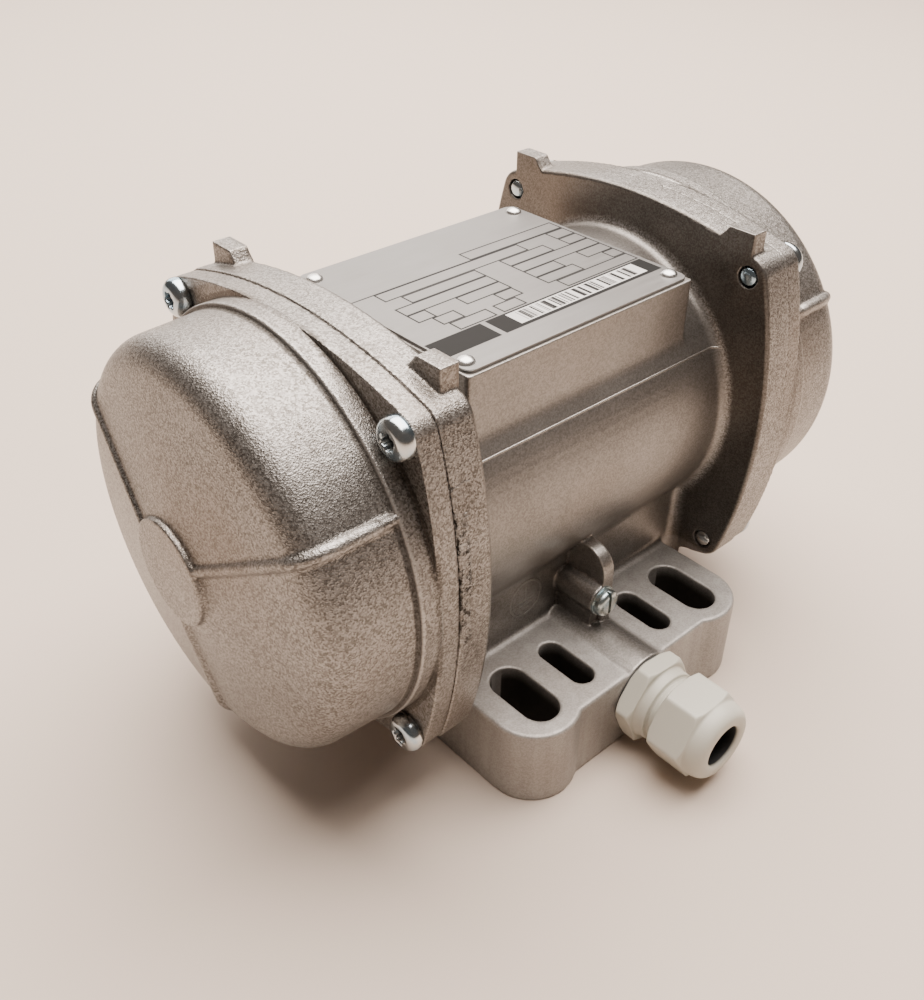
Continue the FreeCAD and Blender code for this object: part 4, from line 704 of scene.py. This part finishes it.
class Growth:
    """A Geometry Nodes tree being made, with named inputs."""

    def __init__(self, name, inputs):
        self.tree = bpy.data.node_groups.new(name, "GeometryNodeTree")
        self.inputs = {}
        self.tree.interface.new_socket("Points", in_out="INPUT", socket_type="NodeSocketGeometry")
        for key, kind in inputs.items():
            item = self.tree.interface.new_socket(key, in_out="INPUT", socket_type=kind)
            self.inputs[key] = item.identifier
        self.tree.interface.new_socket("Pieces", in_out="OUTPUT", socket_type="NodeSocketGeometry")
        self.start = self.tree.nodes.new("NodeGroupInput")
        self.end = self.tree.nodes.new("NodeGroupOutput")

    def node(self, kind, settings=None, inputs=None, output=0):
        made = self.tree.nodes.new(kind)
        for key, setting in (settings or {}).items():
            setattr(made, key, setting)
        for key, given in (inputs or {}).items():
            if isinstance(given, bpy.types.NodeSocket):
                self.tree.links.new(given, made.inputs[key])
            else:
                made.inputs[key].default_value = given
        return made.outputs[output]

    def given(self, key):
        return self.start.outputs[key]

    def finish(self, pieces):
        self.tree.links.new(pieces, self.end.inputs["Pieces"])
        return self


def repeat_tree():
    """One piece at each point, pointing the way that the point faces and turned by a random amount."""
    growth = Growth("repeat_fastener", {
        "Piece": "NodeSocketObject", "Most Turn": "NodeSocketFloat", "Scale": "NodeSocketFloat",
        "Seed": "NodeSocketInt", "Finish": "NodeSocketMaterial",
    })
    piece = growth.node("GeometryNodeObjectInfo", {"transform_space": "ORIGINAL"},
                        {"Object": growth.given("Piece")}, "Geometry")
    facing = growth.node("GeometryNodeInputNamedAttribute", {"data_type": "FLOAT_VECTOR"}, {"Name": "facing"})
    turn = growth.node("FunctionNodeAlignEulerToVector", {"axis": "Z"}, {"Vector": facing})
    spin = growth.node("FunctionNodeRandomValue", {"data_type": "FLOAT"},
                       {"Min": 0.0, 3: growth.given("Most Turn"), "Seed": growth.given("Seed")}, 1)
    own_turn = growth.node("ShaderNodeCombineXYZ", inputs={"Z": spin})
    turned = growth.node("FunctionNodeRotateEuler", {"rotation_type": "EULER", "space": "LOCAL"},
                         {"Rotation": turn, "Rotate By": own_turn})
    placed = growth.node("GeometryNodeInstanceOnPoints", inputs={
        "Points": growth.given("Points"), "Instance": piece, "Rotation": turned,
        "Scale": growth.given("Scale"),
    })
    real = growth.node("GeometryNodeRealizeInstances", inputs={"Geometry": placed})
    painted = growth.node("GeometryNodeSetMaterial",
                          inputs={"Geometry": real, "Material": growth.given("Finish")})
    return growth.finish(painted)


def repeat(growth, name, mesh, places, direction, material, most_turn=2 * math.pi, seed=1):
    """The pieces of one node, made by the tree and turned into a plain mesh."""
    single = add_object(name + "_single", mesh)
    cloud = bpy.data.meshes.new(name + "_points")
    cloud.from_pydata(places, [], [])
    facing = cloud.attributes.new("facing", "FLOAT_VECTOR", "POINT")
    facing.data.foreach_set("vector", [part for place in places for part in direction])
    holder = add_object(name + "_holder", cloud)
    modifier = holder.modifiers.new("repeat", "NODES")
    modifier.node_group = growth.tree
    given = {"Piece": single, "Most Turn": most_turn, "Scale": 1.0, "Seed": seed, "Finish": material}
    for key, value in given.items():
        modifier[growth.inputs[key]] = value
    made = add_object(name, finished_mesh(holder, name), material)
    bpy.data.objects.remove(single)
    smooth(made.data)
    return made


# Fasteners

SCREW_HEAD_RADIUS = 5.3 * MM
SCREW_HEAD_HEIGHT = 4.0 * MM
SCREW_SHANK_RADIUS = 2.8 * MM
SCREW_SOCKET_RADIUS = 2.35 * MM
SCREW_STEPS = 96
RIVET_HEAD_RADIUS = 2.35 * MM
RIVET_HEAD_HEIGHT = 1.3 * MM
RIVET_SHANK_RADIUS = 1.5 * MM
RIVET_INSET = 2.7 * MM


def pan_head_screw(length):
    """A six-lobe pan-head screw. Its seat is at height 0 and it points down."""
    head = SCREW_HEAD_RADIUS
    top = SCREW_HEAD_HEIGHT
    shank = SCREW_SHANK_RADIUS
    socket = SCREW_SOCKET_RADIUS
    floor = top * 0.22
    lip = top * 0.26
    chamfer = 0.9 * MM
    rings = [
        (0, floor - 0.3 * MM),
        (star(socket * 0.80, socket * 0.2), floor),
        (star(socket, socket * 0.22), floor + 0.3 * MM),
        (star(socket, socket * 0.22), top * 0.90),
        (star(socket * 1.09, socket * 0.18), top * 0.985),
    ]
    for number in range(11):
        angle = math.radians(90 * number / 10)
        reach = head * (0.34 + 0.66 * math.sin(angle) ** 0.85)
        if reach > socket * 1.16:
            rings.append((reach, lip + (top - lip) * math.cos(angle) ** 0.9))
    rings += [
        (head, 0.3 * MM),
        (head - 0.25 * MM, 0),
        (shank, 0),
        (shank, chamfer - length),
        (shank - chamfer, -length),
        (0, -length),
    ]
    # The socket's rings carry painted shade.
    return shade_rings(lathe("pan_head_screw", rings, SCREW_STEPS), rings, 0, 2, SCREW_STEPS)


def dome_rivet(length):
    """A rivet with a domed head. Its seat is at height 0 and it points down."""
    angles = [math.radians(angle) for angle in range(12, 90, 13)]
    arch = [(RIVET_HEAD_RADIUS * math.sin(angle), RIVET_HEAD_HEIGHT * math.cos(angle)) for angle in angles]
    return lathe("dome_rivet", [
        (0, RIVET_HEAD_HEIGHT), *arch, (RIVET_HEAD_RADIUS, 0.1 * MM), (RIVET_HEAD_RADIUS - 0.1 * MM, 0),
        (RIVET_SHANK_RADIUS, 0), (RIVET_SHANK_RADIUS, -length), (0, -length),
    ], 40)


def make_cover_screws(growth, material):
    for seed, end in enumerate(ENDS, 3):
        node = f"{end}_cover_screws"
        low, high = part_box(node)
        centre = middle(node)
        away = OUTWARD[end]
        reach = (high.x - low.x) / 2 - SCREW_HEAD_RADIUS
        mesh = pan_head_screw(high.y - low.y - SCREW_HEAD_HEIGHT)
        seat = (high.y if end == "rear" else -low.y) - SCREW_HEAD_HEIGHT
        places = [Vector((centre.x + side * reach, away.y * seat, centre.z + level * reach))
                  for side in (-1, 1) for level in (-1, 1)]
        screws = repeat(growth, f"{end}_cover_screw_set", mesh, places, away, material, seed=seed)
        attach(screws, "motor")
        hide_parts(node)


def make_rivets(growth, material):
    node = "nameplate_rivets"
    low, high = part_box(node)
    reach = (high.x - low.x) / 2 - RIVET_INSET
    line = (high.y - low.y) / 2 - RIVET_INSET
    mesh = dome_rivet(high.z - low.z - RIVET_HEAD_HEIGHT)
    places = [Vector((side * reach, hand * line, high.z - RIVET_HEAD_HEIGHT))
              for side in (-1, 1) for hand in (-1, 1)]
    rivets = repeat(growth, "nameplate_rivet_set", mesh, places, UP, material, seed=5)
    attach(rivets, "motor")
    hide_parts(node)


# Cable gland. Heights run out from its washer's seat on the foot, and its stem goes in from there

GLAND_STEPS = 144
GLAND_FLATS = 24 * MM
GLAND_CORNER = 0.12 * MM
GLAND_CHAMFER = 1.2 * MM
GLAND_BORE = 7.2 * MM
STEM_RADIUS = 10 * MM
STEM_LENGTH = 11.4 * MM
GLAND_BODY_HEXAGON = 5.3 * MM
GLAND_BODY_TURN = math.radians(23)
SHOULDER_RADIUS = 10.9 * MM
SHOULDER_LENGTH = 3.2 * MM
SHOULDER_ROUND = 0.5 * MM
NECK_RADIUS = 9.8 * MM
NECK_TOP = 20 * MM
NECK_PITCH = 1.5 * MM
NECK_THREAD_DEPTH = 0.65 * MM
POCKET_RADIUS = 8.6 * MM
POCKET_FLOOR = 13 * MM
NUT_START = 12.1 * MM
NUT_HEXAGON = 11.5 * MM
NUT_FRONT = 28.7 * MM
NUT_TURN = math.radians(31)
NUT_CLEARANCE = 0.05 * MM
DOME_BASE_RADIUS = 11.8 * MM
DOME_FRONT_RADIUS = 8.7 * MM
MOUTH_RADIUS = 6.4 * MM
MOUTH_FLOOR = 22.6 * MM


def gland_hexagon(low, high, count=5):
    """Rings of the gland's hexagon between two heights, cut back by a cone at each end."""
    across = hexagon(GLAND_FLATS, GLAND_CORNER)

    def chamfered(height):
        cone = GLAND_FLATS / 2 + 0.5 * MM + min(height - low, high - height) * 1.6
        return lambda angle: min(across(angle), cone)

    heights = [low + GLAND_CHAMFER * step / count for step in range(count + 1)]
    heights += [high - GLAND_CHAMFER + GLAND_CHAMFER * step / count for step in range(count + 1)]
    return [(chamfered(height), height) for height in heights]


def gland_body_rings():
    """The gland's body: threaded stem, hexagon, shoulder and threaded neck, with its bore."""
    seat = size_of("gland_washer").x
    hexagon_top = seat + GLAND_BODY_HEXAGON
    shoulder_top = hexagon_top + SHOULDER_LENGTH
    rings = [(STEM_RADIUS, -STEM_LENGTH), (STEM_RADIUS, seat), (GLAND_FLATS / 2 - 0.5 * MM, seat)]
    rings += gland_hexagon(seat, hexagon_top)
    rings += [(GLAND_FLATS / 2 - 0.4 * MM, hexagon_top), (SHOULDER_RADIUS + SHOULDER_ROUND, hexagon_top),
              (SHOULDER_RADIUS, hexagon_top + SHOULDER_ROUND)]
    rings += quarter_round(SHOULDER_RADIUS - SHOULDER_ROUND, shoulder_top - SHOULDER_ROUND, SHOULDER_ROUND)
    root = NECK_RADIUS - NECK_THREAD_DEPTH
    for turn in range(int((NECK_TOP - shoulder_top) / NECK_PITCH)):
        base = shoulder_top + turn * NECK_PITCH
        rings += [(root, base + 0.2 * MM), (NECK_RADIUS, base + 0.7 * MM), (NECK_RADIUS, base + 0.95 * MM),
                  (root, base + 1.45 * MM)]
    return rings + [
        (NECK_RADIUS - 0.3 * MM, NECK_TOP), (POCKET_RADIUS, NECK_TOP), (POCKET_RADIUS, POCKET_FLOOR),
        (GLAND_BORE, POCKET_FLOOR), (GLAND_BORE, -STEM_LENGTH),
    ]


def gland_nut_rings():
    """The dome nut: hexagon, dome and mouth. The three rings before the last are inside the mouth."""
    hexagon_top = NUT_START + NUT_HEXAGON
    dome_start = hexagon_top + 0.1 * MM
    rings = [(NECK_RADIUS + NUT_CLEARANCE, NUT_START), (GLAND_FLATS / 2 - 0.6 * MM, NUT_START)]
    rings += gland_hexagon(NUT_START, hexagon_top)
    rings.append((GLAND_FLATS / 2 - 0.15 * MM, dome_start))
    for step in range(1, 9):
        angle = math.radians(90 * step / 9)
        reach = DOME_FRONT_RADIUS + (DOME_BASE_RADIUS - DOME_FRONT_RADIUS) * math.cos(angle) ** 0.85
        rings.append((reach, dome_start + (NUT_FRONT - dome_start) * math.sin(angle)))
    return rings + [
        (DOME_FRONT_RADIUS - 0.4 * MM, NUT_FRONT), (MOUTH_RADIUS + 0.6 * MM, NUT_FRONT),
        (MOUTH_RADIUS + 0.1 * MM, NUT_FRONT - 0.4 * MM), (MOUTH_RADIUS, NUT_FRONT - 1.2 * MM),
        (MOUTH_RADIUS, MOUTH_FLOOR), (POCKET_RADIUS, MOUTH_FLOOR - 0.1 * MM),
        (NECK_RADIUS + NUT_CLEARANCE, NECK_TOP + 0.1 * MM),
    ]


def make_gland(material):
    low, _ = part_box("gland_washer")
    centre = middle("gland_washer")
    seated = Matrix.Translation((low.x, centre.y, centre.z)) @ turn_to(Vector((1, 0, 0)))
    body = lathe("gland_body_moulding", gland_body_rings(), GLAND_STEPS)
    rings = gland_nut_rings()
    nut = shade_rings(lathe("gland_nut_moulding", rings, GLAND_STEPS), rings, len(rings) - 4, len(rings) - 2,
                      GLAND_STEPS)
    for mesh, turn, node in ((body, GLAND_BODY_TURN, "gland_body"), (nut, NUT_TURN, "gland_dome_nut")):
        mesh.transform(seated @ Matrix.Rotation(turn, 4, "Z"))
        piece = add_object(mesh.name, mesh, material)
        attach(piece, "motor")
        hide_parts(node)


# Nameplate. The places of its print are in millimetres from its middle, across and along it

PLATE_CORNER = 2.5 * MM
PLATE_EDGE = 0.15 * MM
HEADER_RULE = -11.7
RULE_REACH = 38.6
PLATE_ROWS = (
    ((-16.8, -12.1), ((3.0, 38.6),)),
    ((-11.4, -6.7), ((-31.2, 19.7), (31.7, 38.6))),
    ((-6.2, -1.8), ((-26.3, -1.0), (8.4, 25.1), (31.7, 38.6))),
    ((-1.4, 3.1), ((-32.3, -1.0), (8.4, 38.6))),
    ((3.4, 7.9), ((-32.3, -26.8), (-16.2, -1.0), (8.4, 19.7), (28.8, 38.6))),
    ((8.3, 12.6), ((-28.2, -21.5), (-7.4, -1.2), (8.4, 22.0), (34.2, 38.6))),
    ((13.1, 17.3), ((-26.8, -14.9), (-12.2, -4.5), (11.1, 38.6))),
)
STRIP_ACROSS = (18.0, 26.1)
STRIPS_ALONG = ((-39.3, -21.3), (-19.7, 38.6))
PANEL_ACROSS = (18.7, 24.8)
PANEL_ALONG = (-13.4, 34.2)
STRIPES_ACROSS = (19.2, 24.3)
STRIPES_ALONG = (-10.5, 31.0)


def nameplate_print(name):
    """A bare anodised plate with ruled blank fields, a dark strip and a striped panel. It bears no words."""
    finish = Finish(name)
    x, y, _ = (axis / MM for axis in finish.axes())
    lines = finish.noise(700, 3, 0.6, finish.stretched(1.0, 0.08, 1.0))
    cloud = finish.noise(50, 2, 0.5)

    def block(across, along):
        return x.within(*across, 0.07) * y.within(*along, 0.07)

    nearest = abs(x - HEADER_RULE).most(abs(y) - RULE_REACH)
    for (low, high), fields in PLATE_ROWS:
        aside = abs(x - (low + high) / 2) - (high - low) / 2
        for start, stop in fields:
            along = abs(y - (start + stop) / 2) - (stop - start) / 2
            nearest = nearest.least(abs(aside.most(along)))
    rules = 1 - nearest.step(0.16, 0.34)
    strips = block(STRIP_ACROSS, STRIPS_ALONG[0]).most(block(STRIP_ACROSS, STRIPS_ALONG[1]))
    panel = block(PANEL_ACROSS, PANEL_ALONG)
    bars = finish.noise(620, 2, 0.8, finish.stretched(0.0, 1.0, 0.0)).step(0.485, 0.515)
    stripes = block(STRIPES_ACROSS, STRIPES_ALONG) * bars
    ink = (strips * (1 - panel)).most(stripes).most(rules)
    metal = finish.blend(grey(0.165, 0.03), grey(0.25, 0.02), (lines * 0.6 + cloud * 0.4).clamped())
    paper = finish.blend(metal, grey(0.60, 0.01), panel)
    colour = finish.blend(paper, grey(0.016), ink)
    shiny = (1 - ink) * (1 - panel)
    rough = lines.spread(0.30, 0.44) * shiny + (1 - shiny) * 0.5
    normal = finish.raised(lines, 0.01 * MM, 0.4, finish.rounded(0.2 * MM))
    return finish.surface(Base_Color=colour, Metallic=shiny * 0.7, Roughness=rough, Normal=normal,
                          Specular_IOR_Level=0.05)


def make_nameplate(material):
    low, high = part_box("nameplate")
    shape = bmesh.new()
    points = []
    for side, hand, start in ((1, 1, 0), (-1, 1, 90), (-1, -1, 180), (1, -1, 270)):
        for step in range(9):
            angle = math.radians(start + 90 * step / 8)
            points.append(((high.x - PLATE_CORNER) * side + PLATE_CORNER * math.cos(angle),
                           (high.y - PLATE_CORNER) * hand + PLATE_CORNER * math.sin(angle)))
    bottom = [shape.verts.new((x, y, low.z)) for x, y in points]
    top = [shape.verts.new((x, y, high.z)) for x, y in points]
    shape.faces.new(bottom[::-1])
    face = shape.faces.new(top)
    join_loops(shape, bottom, top)
    bmesh.ops.bevel(shape, geom=list(face.edges), offset=PLATE_EDGE, segments=2, affect="EDGES")
    made = add_object("nameplate_sheet", mesh_of(shape, "nameplate_sheet"), material)
    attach(made, "motor")
    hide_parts("nameplate")


# Finishes of the CAD nodes that keep their own shape

def paint_nodes():
    finishes = {
        "zinc_steel": zinc_steel("zinc_steel_inner", (0.60, 0.60, 0.55, 1.0), 0.26),
        "plate_aluminium": plain_metal("plate_aluminium_plain", (0.8, 0.8, 0.79, 1.0), 0.3),
        "cast_aluminium": cast_aluminium("cast_aluminium_inner"),
        "brass": plain_metal("brass", (0.78, 0.60, 0.28, 1.0), 0.25),
        "gland_plastic": moulded_plastic("gland_plastic_inner", (0.55, 0.56, 0.50, 1.0)),
        "black_rubber": rubber("black_rubber"),
        "electrical_steel": plain_metal("laminated_steel", (0.36, 0.37, 0.40, 1.0), 0.38, (0.05, 1, 0.05)),
        "copper_winding": plain_metal("enamelled_copper", (0.62, 0.26, 0.10, 1.0), 0.3, (1, 0.2, 1)),
        "cast_iron": plain_metal("cast_iron", (0.22, 0.22, 0.23, 1.0), 0.5),
        "ground_steel": plain_metal("ground_steel", (0.62, 0.63, 0.65, 1.0), 0.24),
        "spring_steel": plain_metal("spring_steel", (0.12, 0.12, 0.13, 1.0), 0.36),
        "weight_steel": plain_metal("weight_steel", (0.40, 0.40, 0.41, 1.0), 0.42),
        "block_plastic": moulded_plastic("block_plastic", (0.03, 0.03, 0.033, 1.0), 0.4),
        "lead_sleeve": moulded_plastic("lead_sleeve", (0.35, 0.04, 0.03, 1.0), 0.5),
        "fibre_gasket": rubber("fibre_gasket", 0.06),
    }
    slots = {part["node"]: part["material_slot"] for part in frame["record"]["subparts"]}
    for node, made in frame["nodes"].items():
        made.data.materials.clear()
        made.data.materials.append(finishes[slots[node]])


# Camera, floor and light, in metres. The camera's place was found from the photograph

CAMERA_PLACE = (0.1928, -0.1847, 0.2401)
CAMERA_AZIMUTH = math.radians(47.9)
CAMERA_ELEVATION = math.radians(36.0)
CAMERA_ROLL = math.radians(0.44)
CAMERA_LENS = 38.58
FLOOR_SIZE = 6.0
FLOOR_DROP = 0.1 * MM
FLOOR_COLOUR = (0.594, 0.498, 0.425, 1.0)
ROOM_COLOUR = (1.0, 0.82, 0.70, 1.0)
ROOM_STRENGTH = 0.14
LAMP_COLOUR = (1.0, 0.91, 0.835)


def make_camera():
    camera = bpy.data.objects.new("camera", bpy.data.cameras.new("camera"))
    scene.collection.objects.link(camera)
    camera.data.lens = CAMERA_LENS
    camera.data.sensor_width = 36
    camera.data.clip_start = 0.01
    flat = math.cos(CAMERA_ELEVATION)
    back = Vector((math.sin(CAMERA_AZIMUTH) * flat, -math.cos(CAMERA_AZIMUTH) * flat,
                   math.sin(CAMERA_ELEVATION)))
    roll = Matrix.Rotation(CAMERA_ROLL, 3, "Z").to_quaternion()
    camera.rotation_mode = "QUATERNION"
    camera.rotation_quaternion = (-back).to_track_quat("-Z", "Y") @ roll
    camera.location = CAMERA_PLACE
    scene.camera = camera


def make_lamp(name, place, target, width, length, watts):
    """A soft rectangular lamp that points at a target."""
    lamp = bpy.data.lights.new(name, "AREA")
    lamp.shape = "RECTANGLE"
    lamp.size = width
    lamp.size_y = length
    lamp.energy = watts
    lamp.color = LAMP_COLOUR
    made = bpy.data.objects.new(name, lamp)
    scene.collection.objects.link(made)
    made.location = place
    made.rotation_mode = "QUATERNION"
    made.rotation_quaternion = (Vector(target) - Vector(place)).to_track_quat("-Z", "Y")


def make_stage():
    shape = bmesh.new()
    bmesh.ops.create_grid(shape, x_segments=1, y_segments=1, size=FLOOR_SIZE / 2)
    material = Finish("pale_floor").surface(Base_Color=FLOOR_COLOUR, Roughness=0.8)
    floor = add_object("floor", mesh_of(shape, "floor"), material)
    floor.location.z = -FLOOR_DROP
    scene.world = bpy.data.worlds.new("room")
    scene.world.use_nodes = True
    room = scene.world.node_tree.nodes["Background"]
    room.inputs["Color"].default_value = ROOM_COLOUR
    room.inputs["Strength"].default_value = ROOM_STRENGTH
    make_lamp("ceiling", place=(-0.26, 0.40, 1.15), target=(-0.26, 0.40, 0), width=1.55, length=1.55,
              watts=84)
    make_lamp("window", place=(-1.53, 0.56, 0.76), target=(0, 0, 0.05), width=1.6, length=1.1, watts=21)


make_camera()
make_stage()
paint_nodes()
body_finish = cast_aluminium("cast_aluminium_body", body_features)
cast_skin("motor_body", "body_casting", "motor", BODY_FACES, body_finish, extras=body_fillets())
cover_finish = cast_aluminium("cast_aluminium_cover", cover_features)
for end in ENDS:
    cast_skin(f"{end}_cover", f"{end}_cover_casting", "motor", COVER_FACES, cover_finish,
              trims=[joint_filler(end)] + cover_trims(end))
fasteners = repeat_tree()
make_cover_screws(fasteners, zinc_steel("zinc_screw"))
make_rivets(fasteners, plain_metal("rivet_aluminium", (0.78, 0.78, 0.77, 1.0), 0.28))
make_gland(moulded_plastic("gland_plastic", (0.52, 0.505, 0.44, 1.0)))
make_nameplate(nameplate_print("nameplate_print"))
